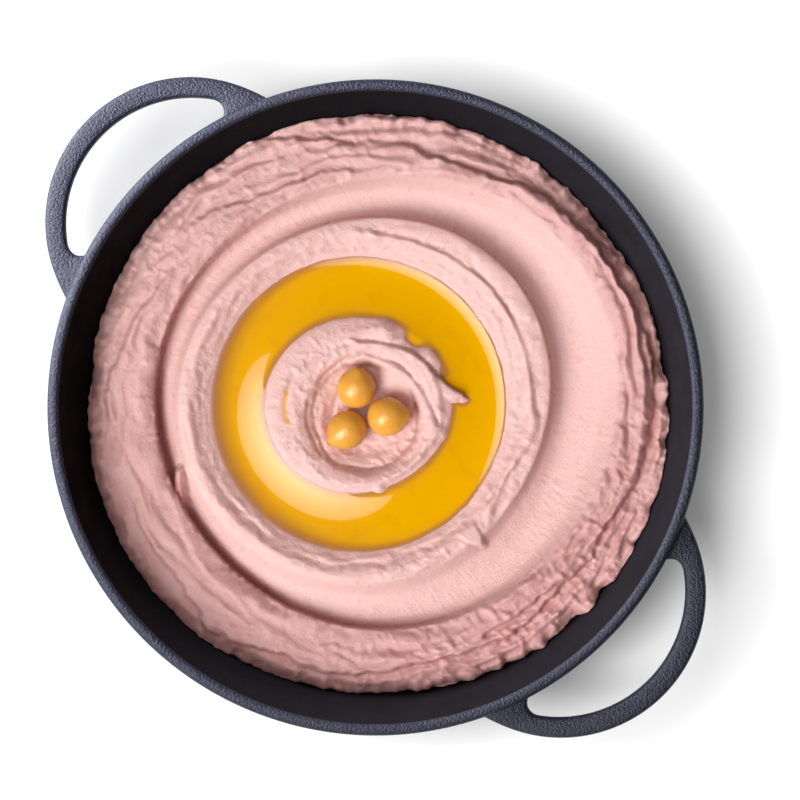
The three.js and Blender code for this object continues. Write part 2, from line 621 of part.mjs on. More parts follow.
// Height of the oil, which climbs the dip at both shores.
function oilHeight(angle, radius) {
  const fromInner = Math.max(0, radius - edge(INNER_SHORE, angle));
  const fromOuter = Math.max(0, edge(OUTER_SHORE, angle) - radius);
  const inner = INNER_CLIMB.rise * Math.exp(-fromInner / INNER_CLIMB.reach);
  return OIL_LEVEL + inner + OUTER_CLIMB.rise * Math.exp(-fromOuter / OUTER_CLIMB.reach);
}

// The oil fills the basin between its two shores, clear of the dip.
function oilPool() {
  const low = BASIN_FLOOR - OIL_REACH;
  const ring = (radiusAt, heightAt) =>
    Array.from({ length: OIL_SIDES }, (_, i) => {
      const angle = (2 * Math.PI * i) / OIL_SIDES;
      const radius = radiusAt(angle);
      return [radius * Math.cos(angle), radius * Math.sin(angle), heightAt(angle, radius)];
    });
  const inside = (past) => (angle) => edge(INNER_SHORE, angle) - past;
  const outside = (past) => (angle) => edge(OUTER_SHORE, angle) + past;
  const rings = [ring(inside(OIL_REACH), () => low), ring(inside(OIL_REACH - 1), oilHeight)];
  for (let k = 0; k <= OIL_RINGS; k++) {
    const share = k / OIL_RINGS;
    rings.push(ring((angle) => mix(inside(0)(angle), outside(0)(angle), share), oilHeight));
  }
  rings.push(ring(outside(OIL_REACH), oilHeight), ring(outside(OIL_REACH), () => low - 1));
  const blank = toManifold(closeRings([0, 0, low], rings, [0, 0, low - 1]));
  const pools = blank.subtract(dip(GAP)).decompose();
  return pools.reduce((best, pool) => (pool.volume() > best.volume() ? pool : best));
}

function dipWithDents() {
  return CHICKPEAS.reduce((body, pea) => body.subtract(chickpea(pea, GAP)), dip());
}

// ---- The object --------------------------------------------------------------------------------
const IRON = new THREE.MeshStandardMaterial({ color: 0x3c3d4c, roughness: 0.62, metalness: 0.25 });
const DIP = new THREE.MeshStandardMaterial({ color: 0xe6b8b0, roughness: 0.55, metalness: 0 });
const OIL = new THREE.MeshStandardMaterial({ color: 0xe5a900, roughness: 0.08, metalness: 0 });
const PULSE = new THREE.MeshStandardMaterial({ color: 0xe9a63a, roughness: 0.35, metalness: 0 });

const dish = new THREE.Group();
function addPiece(name, manifold, material) {
  const mesh = new THREE.Mesh(toGeometry(manifold), material);
  mesh.name = name;
  dish.add(mesh);
}

addPiece("pan", pan(), IRON);
addPiece("handle_right", handleOn("right"), IRON);
addPiece("handle_left", handleOn("left"), IRON);
addPiece("hummus", dipWithDents(), DIP);
addPiece("oil", oilPool(), OIL);
for (const pea of CHICKPEAS) addPiece(pea.name, chickpea(pea), PULSE);

export default dish;
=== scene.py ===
"""A round cast-iron pan of swirled chickpea dip, with a ring of oil and three chickpeas.

Named sizes are in millimetres and degrees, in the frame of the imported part, and become metres
where a piece is made. Heights are above the table that the pan stands on. Distances and sizes of
lights are in metres.
"""

import math

import bmesh
import bpy
import numpy as np
from mathutils import Matrix, Vector


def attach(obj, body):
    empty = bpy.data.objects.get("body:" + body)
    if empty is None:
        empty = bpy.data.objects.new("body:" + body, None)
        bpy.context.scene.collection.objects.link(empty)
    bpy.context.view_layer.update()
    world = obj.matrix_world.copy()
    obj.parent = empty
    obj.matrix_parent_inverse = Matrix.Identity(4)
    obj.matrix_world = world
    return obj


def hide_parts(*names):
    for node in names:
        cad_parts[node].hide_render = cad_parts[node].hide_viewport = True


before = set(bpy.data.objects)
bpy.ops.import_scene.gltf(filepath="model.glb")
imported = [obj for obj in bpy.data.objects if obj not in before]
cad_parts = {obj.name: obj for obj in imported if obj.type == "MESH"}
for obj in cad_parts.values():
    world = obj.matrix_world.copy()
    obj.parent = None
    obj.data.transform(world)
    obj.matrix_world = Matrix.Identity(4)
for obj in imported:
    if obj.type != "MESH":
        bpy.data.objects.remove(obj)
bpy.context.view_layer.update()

MM = 0.001

# ---- The pan ----
RIM_RADIUS = 84.0  # outside of the rim
RIM_HEIGHT = 44.0
WALL = 3.1
WALL_FLARE = 0.28  # how far the wall leans out for each millimetre of height
FLOOR = 4.0
LIP_ROUND = 1.4
OUTER_CORNER = 9.0
INNER_CORNER = 6.0
PAN_SIDES = 256

HANDLE_TOP = 41.4
HANDLE_THICKNESS = 5.6
HANDLE_EDGE = 1.2  # rounding of the handle's edges
LOOP_CENTRE = 67.3  # the loop's outer arc
LOOP_RADIUS = 37.2
HOLE_CENTRE = 66.7  # the hole's outer arc
HOLE_RADIUS = 32.5
HOLE_FOOT = 83.2  # the hole's side along the wall
HOLE_END = 3.6  # rounding of the hole's two ends
LOOP_FLARE = 62.0  # degrees round the loop where the bar starts to flare into its root
ROOT_FLARE = 5.7  # length of the flare
ROOT_SPAN = 27.5  # degrees from the handle's axis to where its root meets the wall
ROOT_INSIDE = 81.2  # the root ends within the wall
HANDLE_STEPS = 48  # along half a handle

# ---- The dip's swirl: mean radius, then (size, degrees) of waves that repeat 1, 2 and 3 times a turn ----
GAP = 0.35  # clearance between touching pieces
OIL_LEVEL = 25.6
OUTER_LIP = (60.3, (2.8, 75), (1.0, 72), (0.8, -35))
INNER_LIP = (47.0, (3.7, -164), (1.4, 82), (0.5, -26))
OUTER_SHORE = (38.1, (4.6, -145))
INNER_SHORE = (23.2, (4.7, -143), (1.1, 49))
HOLLOW = (13.7, (3.9, -93))  # the hollow that holds the chickpeas
DIP_EDGE = (75.8, (0.5, 95), (0.2, 14), (0.45, 22))  # where the dip meets the wall
STEEP_SIDE = 85  # degrees: where the inner ridge drops steeply into the groove
TALL_SIDE = 70  # degrees: where the middle mound is tallest
ROUGHNESS = (0.6, (0.3, 40), (0.2, 0))  # how rough the outer band is round the pan
LIP_LEAN = 1.5  # how far each of the groove's lips hangs over it where it is steep
LIP_BACK = 0.6  # the lean is greatest this far behind the lip
LIP_REACH = 1.8

HOLLOW_FLOOR = 23.0
HOLLOW_RIM = 26.3
MOUND_CREST = 28.0  # on its low side
MOUND_RISE = 1.1  # how much taller the mound is on its tall side
BASIN_FLOOR = 23.2  # under the oil
GROOVE_FLOOR = 23.0
GROOVE_RISE = 1.8  # how much shallower the groove is at its far side
RIDGE_CREST = 29.2
LIP_HEIGHT = 28.8
OUTER_CREST = 30.0
EDGE_HEIGHT = 21.5  # lowest height of the dip at the wall

# The oil climbs the dip at both shores: height of the climb and how far it reaches.
INNER_CLIMB = (1.5, 6.6)
OUTER_CLIMB = (0.9, 3.2)
OIL_UNSHADED_SIDE = 60  # where the oil is made to look deepest by its outer shore; on the opposite side, towards the light, it is made to look shallower and browner there, as painted shade from the ridge

# Folds: path of (degrees, radius), lift of the side left of it, drop of the other, and the reach of each.
FOLDS = [
    ([(273, 70.2), (283, 71.2), (295, 68.6), (303, 69.8), (318, 68.1), (345, 68.4), (362, 66.6),
      (370, 68.2), (376, 67.1), (390, 70), (405, 71.8), (416, 73), (425, 71.8), (436, 70.6), (455, 70.2),
      (467, 67.2), (482, 66.8), (490, 68.6), (504, 65.6)], 1.2, 2.4, 2.6, 2.6),
    ([(139, 68.1), (146, 71), (153, 73.4), (158, 75.4)], 0.9, 1.2, 2.5, 2.0),
    ([(73, 70.2), (76, 73.8), (78, 74.3), (83, 70.7)], 0.9, 0.9, 2.0, 1.5),
    ([(135, 61.6), (148, 62.4), (160, 61.6), (167, 63.2), (176, 66.6), (184, 67.6)], 0.7, 1.0, 2.5, 2.2),
    ([(244, 66.5), (247, 67.7), (252, 68.6), (256, 68.5), (260, 68.1), (265, 67.8), (269, 68.7),
      (273, 69.8), (277, 71.9), (280, 72.3), (284, 71.2)], 0.6, 1.0, 2.6, 1.8),
    ([(246, 60.2), (252, 59.6), (261, 60.8), (270, 61.8), (278, 62), (286, 63.4)], 0.4, 0.6, 1.4, 1.6),
    ([(336, 66), (344, 64.9), (349, 65.1), (354, 65.1), (360, 65.2), (363, 66.6), (368, 67.6)],
     0.7, 1.2, 1.6, 1.6),
    ([(331, 68.4), (336, 69.2), (340, 69.4), (344, 68.8), (349, 68.6), (353, 68.7)], 0.6, 1.1, 1.4, 1.6),
    ([(370, 72.6), (374, 73), (378, 72.6), (384, 73.4)], 0.8, 1.2, 1.6, 1.4),
    ([(188, 63.2), (198, 65), (208, 66.8), (220, 69.9), (229, 68.6), (238, 66)], 0.7, 0.9, 3.0, 2.5),
    ([(321, 64.5), (335, 66), (352, 65.5), (357, 64.2)], 0.7, 0.9, 2.2, 1.8),
    ([(309, 73.8), (317, 72), (324, 70.2), (333, 71), (339, 73.1)], 0.5, 0.8, 1.8, 2.0),
    ([(357, 42.4), (363, 40.3), (374, 38.4), (386, 39.3), (397, 41.2), (415, 40.8), (435, 42.1),
      (455, 43.2), (475, 43.9), (495, 45.2), (505, 46.5)], 1.0, 1.0, 2.0, 1.4),
    ([(328, 43.9), (336, 42.6), (348, 40.6)], 0.5, 0.5, 1.5, 1.5),
    ([(285, 43.4), (299, 42.1), (311, 40.3), (320, 40.6), (317, 42.1)], 0.4, 0.5, 1.2, 1.2),
    ([(248, 46), (258, 44.5), (267, 43.4), (277, 43.4)], 0.5, 0.5, 1.5, 1.2),
    ([(54, 21.8), (57, 19.8), (65, 18.4), (75, 17.6), (90, 17.3), (105, 16.8), (120, 16.6), (135, 16.8),
      (148, 17.4), (156, 19.2)], 0.7, 1.4, 1.6, 1.4),
]
# Creases: path, depth and width.
CREASES = [
    ([(216, 17.7), (231, 18.1), (243, 18.4), (257, 18.7), (270, 19.2)], 1.0, 0.55),
    ([(204, 15.9), (198, 16.2), (182, 15.2), (165, 14.6), (150, 14.2), (142, 13.9), (121, 12.9),
      (103, 12.5), (84, 12.4), (67, 13), (48, 14.3), (37, 15.6), (31, 16.6), (20, 17.2)], 1.3, 0.7),
    ([(196, 21.4), (188, 20.6), (180, 19.8), (165, 18.6), (157, 17.8)], 0.6, 0.8),
    ([(45, 12.5), (26, 13.2), (10, 14.6), (-6, 15.6), (-22, 16.6)], 0.6, 0.7),
    ([(200, 22.5), (212, 23.4), (225, 23.6), (238, 23)], 0.5, 0.7),
    ([(208, 15.6), (211, 15.8), (225, 16.3), (240, 16.6), (255, 17.0), (270, 17.9), (280, 17.8),
      (293, 16.7), (309, 15.8), (325, 15.4), (338, 15)], 0.7, 0.4),
    ([(208, 58.6), (218, 57.8), (228, 57.2), (238, 56.6), (248, 56.3), (256, 56.2), (265, 56.2),
      (275, 56.4), (285, 56.9), (296, 57.6)], 2.0, 1.6),
]
FOLD_SOFTNESS = 0.5  # width of the step at a fold
FOLD_TAPER = 0.12  # share of a fold or crease over which each end fades out

# Lumps and pits: place (degrees, radius), reach and height.
LUMPS = [
    ((87, 19.6), 1.9, 1.0),
    ((105, 21.0), 2.3, -2.6),
    ((63, 21.0), 1.6, -2.6),
    ((24, 18.6), 1.6, 0.8),
    ((128, 20.6), 2.6, 1.2),
    ((318, 21.6), 1.4, 1.0),
]

# Tails: path, width at the root, height at the root and at the tip, and how much steeper the left side is.
TAILS = [
    ([(140, 16.2), (125, 15.5), (108, 15.1), (92, 15.3), (79, 16.1), (69, 17.3), (60.5, 19), (56, 20.6),
      (53.4, 22.4)],
     6.0, 29.3, 28.4, 0.6),
    ([(255, 58.8), (250.5, 57.2), (247, 55.7), (244.6, 54.6), (242.8, 53.5)], 4.0, 29.9, 28.6, 0),
    ([(351.8, 38.4), (352, 40.6), (352.4, 42.6), (352.7, 44.7)], 8.0, 29.9, 29.3, 0),
]
TAIL_SLOPE = 2.2  # how steeply a tail's sides fall
TAIL_START = 0.3  # share of a tail over which it rises out of the dip

# Relief of the rough bands. Strands run along the swirl: height, number a turn, width and seed.
BAND_STRANDS = [(1.1, 19, 4.6, 41)]
LIVELY_STRANDS = [(2.4, 13, 3.3, 47), (0.8, 29, 2.0, 42)]  # only where the band is rough
RIDGE_STRANDS = [(0.9, 24, 2.6, 43), (0.5, 60, 1.5, 44)]
MOUND_STRANDS = [(0.4, 9, 2.0, 45)]
# Crumbs: height, width and seed.
BAND_CRUMBS = [(0.75, 2.2, 51), (0.3, 1.3, 52)]
RIDGE_CRUMBS = [(0.3, 1.6, 54), (0.1, 1.0, 55)]
MOUND_CRUMBS = [(0.3, 1.7, 56), (0.12, 1.1, 57)]
BAND_SINK, RIDGE_SINK, MOUND_SINK = 0.9, 0.35, 0.2  # mean height of the relief, taken off each band
DRIFT = [(1.4, 11, 31), (0.7, 4.5, 32)]  # how the strands wander: size, width and seed
RIPPLE_HEIGHT = 0.2  # cross ripples in the smooth groove
RIPPLES_A_TURN = 330
PUFF_SOFTNESS = 0.02

# The dip's mesh: rings of faces from the middle out, by (radius, spacing), so that they lie closer
# where the dip is rough.
DIP_BANDS = [(0, 0.5), (7, 0.45), (12, 0.36), (23, 0.38), (27, 1.2), (34, 1.2), (37, 0.42),
             (49, 0.42), (52, 0.7), (56, 0.6), (58, 0.37), (75.8, 0.37)]
DIP_GRID = 304
CREASE_LOOKS = 6  # directions in which the depth of a crease is felt, and how far away, which set the painted shade in creases
CREASE_REACH = 0.85
WALL_SHADE = (0.8, (0.25, -25))  # how much painted shade from the pan's wall darkens the outer band round the pan
FILM = [(210, 23.1), (217, 23.7), (226, 23.9), (233, 23.4), (239, 22.8)]  # a streak of oil on the mound
FILM_REACH = 0.45

# The oil's mesh
OIL_SIDES = 360
OIL_RINGS = 48
OIL_PAST = 1.1  # how far it reaches into the dip at its outer shore, and twice that at its inner one

# Chickpeas: place, radius, and the heading and tilt of the beak.
CHICKPEAS = {
    "chickpea_1": ((-7.1, -0.1), 5.25, 131, 28),
    "chickpea_2": ((-1.2, -9.55), 5.2, 262, 12),
    "chickpea_3": ((3.8, 0.45), 5.35, 48, 8),
}
CHICKPEA_SINK = 1.6  # how deep each is pressed into the dip
CHICKPEA_CLEARANCE = 0.12
BEAK = 0.27  # length of the beak, as a share of the radius
BEAK_SPREAD = 46  # degrees from the beak's tip to where it starts
BEAK_TIP = 12  # degrees round the beak where it is darker
SEAM = 0.035  # depth and width of the crease between the halves, as shares of the radius
SEAM_WIDTH = 0.12
DENT = 0.02  # depth of a shallow dent on top, as a share of the radius
DENT_PLACE = 70  # degrees from the beak to the dent, and how far it spreads
DENT_SPREAD = 25
SQUASH = (0.97, 0.98)  # breadth and height, as shares of the length without the beak

# ---- View ----
VIEW_TURN = 45.0  # degrees from the handles' line to the camera's right
CAMERA_ABOVE_RIM = 900.0
LENS = 158.5
SENSOR = 36.0
VIEW_CENTRE = (6.26, 1.9)  # what the camera looks straight down at, to its right and up from the middle

# ---- Colours and stage ----
DIP_SMOOTH = (0.745, 0.487, 0.455, 1)
# Painted shade: the outer band's darker, more mauve colour where the pan's wall shades it.
DIP_WALL_SHADE = (0.605, 0.335, 0.32, 1)
# Painted shade: a darker, redder colour put in creases and in the fold under the outer lip, where shade
# falls.
DIP_PAINTED_SHADE = (0.46, 0.19, 0.175, 1)
OIL_FILM = (0.88, 0.5, 0.05, 1)
OIL_STREAK = (0.78, 0.32, 0.005, 1)
OIL_DEEPEST = 3.0
# Colour of the oil by how deep it looks; the shallow browns also carry its painted shade.
OIL_BY_DEPTH = [(0.0, (0.56, 0.27, 0.19, 1)), (0.06, (0.52, 0.22, 0.08, 1)), (0.18, (0.62, 0.26, 0.025, 1)),
                (0.5, (0.88, 0.41, 0.008, 1)), (1.0, (0.95, 0.45, 0.0, 1))]
SKIN_PALE = (0.80, 0.42, 0.07, 1)
SKIN_DEEP = (0.68, 0.30, 0.03, 1)
SKIN_BEAK = (0.36, 0.12, 0.015, 1)
BLUE_BLACK = ((0.009, 0.010, 0.025, 1), (0.015, 0.017, 0.038, 1))
BROWN_BLACK = ((0.006, 0.005, 0.006, 1), (0.014, 0.013, 0.017, 1))
TABLE_WHITE = (0.9, 0.9, 0.9)
TABLE_REACH = 4000
FOOD_GLOW = (1, 0.69, 0.66)
WORLD_LIGHT = 0.05


# ---------------------------------------------------------------- numbers
def smooth(t):
    """An eased step from 0 to 1."""
    t = np.clip(t, 0, 1)
    return t * t * (3 - 2 * t)


def edge(form, angle):
    """Radius of a swirl edge at an angle."""
    mean, *waves = form
    radius = np.full_like(angle, mean)
    for times, (size, degrees) in enumerate(waves, 1):
        radius = radius + size * np.cos(times * (angle - math.radians(degrees)))
    return radius


def facing(angle, degrees):
    """A share that is 1 in a direction and 0 opposite."""
    return 0.5 + 0.5 * np.cos(angle - math.radians(degrees))


def swells(x, y, seed, around=0):
    """Smooth random swells from about -1 to 1, a cell a unit, which repeat after `around` cells of x."""
    i, j = np.floor(x), np.floor(y)
    u, v = x - i, y - j

    def slope(di, dj):
        cell = (i + di) % around if around else i + di
        draw = np.sin(cell * 127.1 + (j + dj) * 311.7 + seed * 74.7) * 43758.5453
        turn = math.tau * (draw - np.floor(draw))
        return np.cos(turn) * (u - di) + np.sin(turn) * (v - dj)

    a, b = smooth(u), smooth(v)
    low = slope(0, 0) * (1 - a) + slope(1, 0) * a
    high = slope(0, 1) * (1 - a) + slope(1, 1) * a
    return 1.5 * (low * (1 - b) + high * b)


def rough(x, y, seed, octaves=2):
    """Swells with finer swells on them, each layer turned so that no grid shows."""
    total, whole = 0, 0
    for k in range(octaves):
        turn, size = 0.6 * k + 0.3, 0.5**k
        u = (x * math.cos(turn) - y * math.sin(turn)) / size
        v = (x * math.sin(turn) + y * math.cos(turn)) / size
        total = total + size * swells(u + 17.3 * k, v - 9.1 * k, seed + k)
        whole += size
    return total / whole


def puffs(field):
    """Rounded puffs with creases between them, from swells: 0 in a crease and up to about 1."""
    return np.sqrt(field * field + PUFF_SOFTNESS) - math.sqrt(PUFF_SOFTNESS)


def bumps(field):
    """Rounded bumps on a flat ground, from swells: 0 over about half of it and up to 1."""
    return smooth(1.3 * field)


def through_stations(radii, heights, radius):
    """Height on a curve that never overshoots its stations. Each station holds one value a point."""
    R, Z = [radii[0]], list(heights)
    for r in radii[1:]:
        R.append(np.maximum(r, R[-1] + 0.05))
    gap = [b - a for a, b in zip(R, R[1:])]
    slope = [(b - a) / g for a, b, g in zip(Z, Z[1:], gap)]
    tangent = [0 * R[0]]
    for a, b, ga, gb in zip(slope, slope[1:], gap, gap[1:]):
        before, after = 2 * gb + ga, gb + 2 * ga
        same = a * b > 1e-12
        blend = (before + after) / (before / np.where(same, a, 1) + after / np.where(same, b, 1))
        tangent.append(np.where(same, blend, 0))
    tangent.append(slope[-1])
    out = Z[0] + 0 * radius
    for k, g in enumerate(gap):
        t = np.clip((radius - R[k]) / g, 0, 1)
        piece = ((2 * t**3 - 3 * t**2 + 1) * Z[k] + (t**3 - 2 * t**2 + t) * g * tangent[k]
                 + (3 * t**2 - 2 * t**3) * Z[k + 1] + (t**3 - t**2) * g * tangent[k + 1])
        out = np.where(radius >= R[k], piece, out)
    return out


def trace(path, steps=8):
    """A smooth path through polar points, as x, y points."""
    P = np.array([(r * math.cos(math.radians(a)), r * math.sin(math.radians(a))) for a, r in path])
    P = np.vstack([2 * P[0] - P[1], P, 2 * P[-1] - P[-2]])
    out = []
    for a, b, c, d in zip(P, P[1:], P[2:], P[3:]):
        for t in np.arange(steps) / steps:
            out.append(0.5 * (2 * b + (c - a) * t + (2 * a - 5 * b + 4 * c - d) * t**2
                              + (3 * b - a - 3 * c + d) * t**3))
    out.append(P[-2])
    return np.array(out)


def beside(line, x, y, reach):
    """Distance from a traced path, the same with a sign (positive on the left), and the share passed."""
    near = ((x > line[:, 0].min() - reach) & (x < line[:, 0].max() + reach)
            & (y > line[:, 1].min() - reach) & (y < line[:, 1].max() + reach))
    px, py = x[near], y[near]
    best = np.full(px.shape, 1e9)
    side = np.zeros_like(best)
    share = np.zeros_like(best)
    pieces = len(line) - 1
    for i in range(pieces):
        (ax, ay), (bx, by) = line[i], line[i + 1]
        ux, uy = bx - ax, by - ay
        t = np.clip(((px - ax) * ux + (py - ay) * uy) / (ux * ux + uy * uy), 0, 1)
        dx, dy = px - ax - t * ux, py - ay - t * uy
        d = np.hypot(dx, dy)
        closer = d < best
        best = np.where(closer, d, best)
        side = np.where(closer, np.sign(ux * dy - uy * dx) * d, side)
        share = np.where(closer, (i + t) / pieces, share)
    return near, best, side, share


# ---------------------------------------------------------------- the dip's surface
def outer_wall(z):
    """Radius of the pan's outside at a height."""
    return RIM_RADIUS - WALL_FLARE * (RIM_HEIGHT - LIP_ROUND - z)


def inner_wall(z):
    return outer_wall(z) - WALL


def trough(ra, za, rb, zb, low, share):
    """Stations of a hollow between two edges, lowest at a share of the way across."""
    bottom = ra + (rb - ra) * share
    return [(bottom + (ra - bottom) * 0.55, low + (za - low) * 0.24), (bottom, low + 0 * bottom),
            (bottom + (rb - bottom) * 0.55, low + (zb - low) * 0.24)]


def dip_edge(angle):
    """Radius where the dip ends at the wall, with lumps."""
    turns, zero = angle / math.tau, 0 * angle
    lumps = 0.6 * swells(turns * 37, zero, 71, 37) + 0.3 * swells(turns * 190, zero, 73, 190)
    lumps += edge(ROUGHNESS, angle) ** 2 * swells(turns * 90, zero, 72, 90)
    return np.minimum(edge(DIP_EDGE, angle) + lumps, inner_wall(OUTER_CREST - 1.5) - GAP)


def edge_height(radius):
    """Height of the dip's edge, which rides up the flared wall where it reaches out far."""
    to_wall = RIM_RADIUS - WALL - GAP - radius
    return np.maximum(EDGE_HEIGHT, RIM_HEIGHT - LIP_ROUND - to_wall / WALL_FLARE)


def swirl_height(x, y):
    """Height of the swirl's large shape, through stations from the middle out to the wall."""
    angle, radius = np.arctan2(y, x), np.hypot(x, y)
    inner_shore, outer_shore = edge(INNER_SHORE, angle), edge(OUTER_SHORE, angle)
    inner_lip, outer_lip = edge(INNER_LIP, angle), edge(OUTER_LIP, angle)
    steep, tall = facing(angle, STEEP_SIDE), facing(angle, TALL_SIDE)
    rim = edge(HOLLOW, angle)
    zero = 0 * angle
    rim_of_dip = dip_edge(angle)
    climb_in = OIL_LEVEL + INNER_CLIMB[0]
    climb_out = OIL_LEVEL + OUTER_CLIMB[0]
    stations = [
        (zero, HOLLOW_FLOOR),
        (rim - 6, HOLLOW_FLOOR + 0.1),
        (rim - 2.2, HOLLOW_FLOOR + 0.2 + 1.8 * (1 - tall)),
        (rim - 0.5, HOLLOW_FLOOR + 0.9 + 1.7 * (1 - tall)),
        (rim + 0.4, HOLLOW_RIM + 0.6 * tall),
        (rim + 1.8, MOUND_CREST - 0.5 + MOUND_RISE * tall),
        (rim + (inner_shore - rim) * 0.6, MOUND_CREST + MOUND_RISE * tall),
        (inner_shore - 1.2, climb_in + 0.6),
        (inner_shore, climb_in),
        *trough(inner_shore, climb_in, outer_shore, climb_out, BASIN_FLOOR, 0.5),
        (outer_shore, climb_out),
        (outer_shore + (inner_lip - outer_shore) * 0.45, RIDGE_CREST - 1.1),
        (inner_lip - 2.2, RIDGE_CREST),
        (inner_lip - 0.2, LIP_HEIGHT),
        *trough(inner_lip - 0.2, LIP_HEIGHT, outer_lip, LIP_HEIGHT,
                GROOVE_FLOOR + GROOVE_RISE * (1 - steep), 0.87 - 0.67 * steep),
        (outer_lip, LIP_HEIGHT + 0.5 * (1 - steep)),
        (outer_lip + 2.5, OUTER_CREST),
        (outer_lip + 6, OUTER_CREST - 0.2),
        (rim_of_dip - 4.4, OUTER_CREST - 1.6),
        (rim_of_dip - 1.5, (OUTER_CREST + 2 * edge_height(rim_of_dip)) / 3),
        (rim_of_dip, edge_height(rim_of_dip)),
    ]
    radii = [r + zero for r, _ in stations]
    heights = [z + zero for _, z in stations]
    return through_stations(radii, heights, radius)


def add_fold(x, y, z, fold):
    """Lifts the left side of a path and drops the right, with a soft step between."""
    path, lift, drop, wide_in, wide_out = fold
    near, d, side, share = beside(trace(path), x, y, 10)
    ends = smooth(np.minimum(share, 1 - share) / FOLD_TAPER)
    step = np.where(side > 0, lift * np.exp(-d / wide_in), -drop * np.exp(-d / wide_out))
    z[near] += step * np.tanh(d / FOLD_SOFTNESS) * ends


def add_crease(x, y, z, crease):
    """Presses a narrow crease along a path."""
    path, depth, width = crease
    near, d, _, share = beside(trace(path), x, y, 4)
    ends = smooth(np.minimum(share, 1 - share) / FOLD_TAPER)
    z[near] -= depth * np.exp(-d / width) * ends


def add_lump(x, y, z, lump):
    """Raises a round lump, or presses a pit where the height is below 0."""
    (degrees, radius), reach, height = lump
    turn = math.radians(degrees)
    away = np.hypot(x - radius * math.cos(turn), y - radius * math.sin(turn))
    z += height * np.exp(-((away / reach) ** 2))


def add_tail(x, y, z, tail):
    """Raises a tail that narrows to its tip, as a spoon leaves it."""
    path, width, root, tip, lean = tail
    near, d, side, share = beside(trace(path), x, y, 8)
    wide = width * (1 - share) ** 0.7 + 0.15
    crest = root + (tip - root) * share - TAIL_SLOPE * np.maximum(0, d + lean * side - wide * 0.35)
    z[near] += np.maximum(0, crest - z[near]) * smooth(share / TAIL_START)


def chickpea_dents(x, y, z):
    """Presses the chickpeas' seats into the dip."""
    for (cx, cy), radius, _, _ in CHICKPEAS.values():
        middle = HOLLOW_FLOOR + radius - CHICKPEA_SINK
        reach = radius + CHICKPEA_CLEARANCE
        under = middle - np.sqrt(np.maximum(0, reach**2 - (x - cx) ** 2 - (y - cy) ** 2))
        z = np.where(np.hypot(x - cx, y - cy) < reach, np.minimum(z, under), z)
    return z


def bands_of(angle, radius):
    """How much of the rough outer band, the inner ridge and the mound each point is in."""
    outside = smooth((radius - edge(OUTER_LIP, angle) + 1.0) / 2.5)
    ridge = (smooth((edge(INNER_LIP, angle) + 0.5 - radius) / 2)
             * smooth((radius - edge(OUTER_SHORE, angle)) / 2))
    mound = smooth((edge(INNER_SHORE, angle) + 0.3 - radius) / 2.5)
    return outside, ridge, mound


def strands(layers, turns, lane):
    """Rounded strands along the swirl."""
    return sum(height * puffs(swells(turns * count, lane / width, seed, count))
               for height, count, width, seed in layers)


def crumbs(layers, x, y):
    """Rounded crumbs in no order."""
    return sum(height * bumps(swells(x / width, y / width, seed)) for height, width, seed in layers)


def relief(x, y, angle, radius, bands):
    """The crumbly relief of the rough bands, and the ripples of the smooth groove."""
    outside, ridge, mound = bands
    turns = angle / math.tau
    lively = edge(ROUGHNESS, angle)
    patches = 0.5 + 0.5 * smooth(0.5 + swells(x / 9, y / 9, 35))
    drift = sum(size * swells(x / width, y / width, seed) for size, width, seed in DRIFT)
    lane = radius - 0.7 * (edge(OUTER_LIP, angle) - OUTER_LIP[0]) + drift
    ropes = strands(BAND_STRANDS, turns, lane) + lively * strands(LIVELY_STRANDS, turns, lane)
    grain = 0.04 * rough(x / 0.8, y / 0.8, 53)
    z = outside * (ropes - BAND_SINK + lively * patches * crumbs(BAND_CRUMBS, x, y) + grain)
    lane = radius - 0.9 * (edge(INNER_LIP, angle) - INNER_LIP[0]) + 0.5 * drift
    ropes = strands(RIDGE_STRANDS, turns, lane)
    z += ridge * (0.3 + 0.7 * lively) * (ropes - RIDGE_SINK + crumbs(RIDGE_CRUMBS, x, y))
    ropes = strands(MOUND_STRANDS, turns, radius + 0.5 * drift)
    z += mound * (ropes - MOUND_SINK + crumbs(MOUND_CRUMBS, x, y))
    groove = 1 - np.clip(outside + ridge + mound, 0, 1)
    ripples = np.maximum(0, swells(turns * RIPPLES_A_TURN, radius / 2.6, 21, RIPPLES_A_TURN))
    ripples = ripples * smooth(0.5 + swells(x / 14, y / 14, 23))
    z += groove * (RIPPLE_HEIGHT * ripples + 0.05 * swells(x / 3, y / 3, 22))
    return z


def dip_height(x, y):
    """Height of the dip's finished surface."""
    angle, radius = np.arctan2(y, x), np.hypot(x, y)
    bands = bands_of(angle, radius)
    outside, ridge, mound = bands
    lip = np.exp(-(((radius - edge(OUTER_LIP, angle)) / 1.5) ** 2)) * (1 - facing(angle, STEEP_SIDE))
    ragged = 0.9 * outside + 0.5 * ridge + 0.35 * mound + 0.12
    fine = 0.15 * ragged + 0.4 * lip
    wx = x + ragged * rough(x / 4, y / 4, 3) + fine * swells(x / 1.3, y / 1.3, 5)
    wy = y + ragged * rough(x / 4, y / 4, 4) + fine * swells(x / 1.3, y / 1.3, 6)
    z = swirl_height(wx, wy)
    for lump in LUMPS:
        add_lump(x, y, z, lump)
    for fold in FOLDS:
        add_fold(wx, wy, z, fold)
    z += relief(x, y, angle, radius, bands)
    for tail in TAILS:
        add_tail(wx, wy, z, tail)
    for crease in CREASES:
        add_crease(wx, wy, z, crease)
    return chickpea_dents(x, y, z)


def leaned(angle, radius):
    """Radius with the groove's two lips pushed over it, so that they overhang where they are steep."""
    steep = facing(angle, STEEP_SIDE)
    past_outer = (radius - edge(OUTER_LIP, angle) - LIP_BACK) / LIP_REACH
    past_inner = (radius - edge(INNER_LIP, angle) + LIP_BACK) / LIP_REACH
    over_outer = LIP_LEAN * (1 - steep) * np.exp(-(past_outer**2))
    over_inner = LIP_LEAN * steep * np.exp(-(past_inner**2))
    return radius - over_outer + over_inner


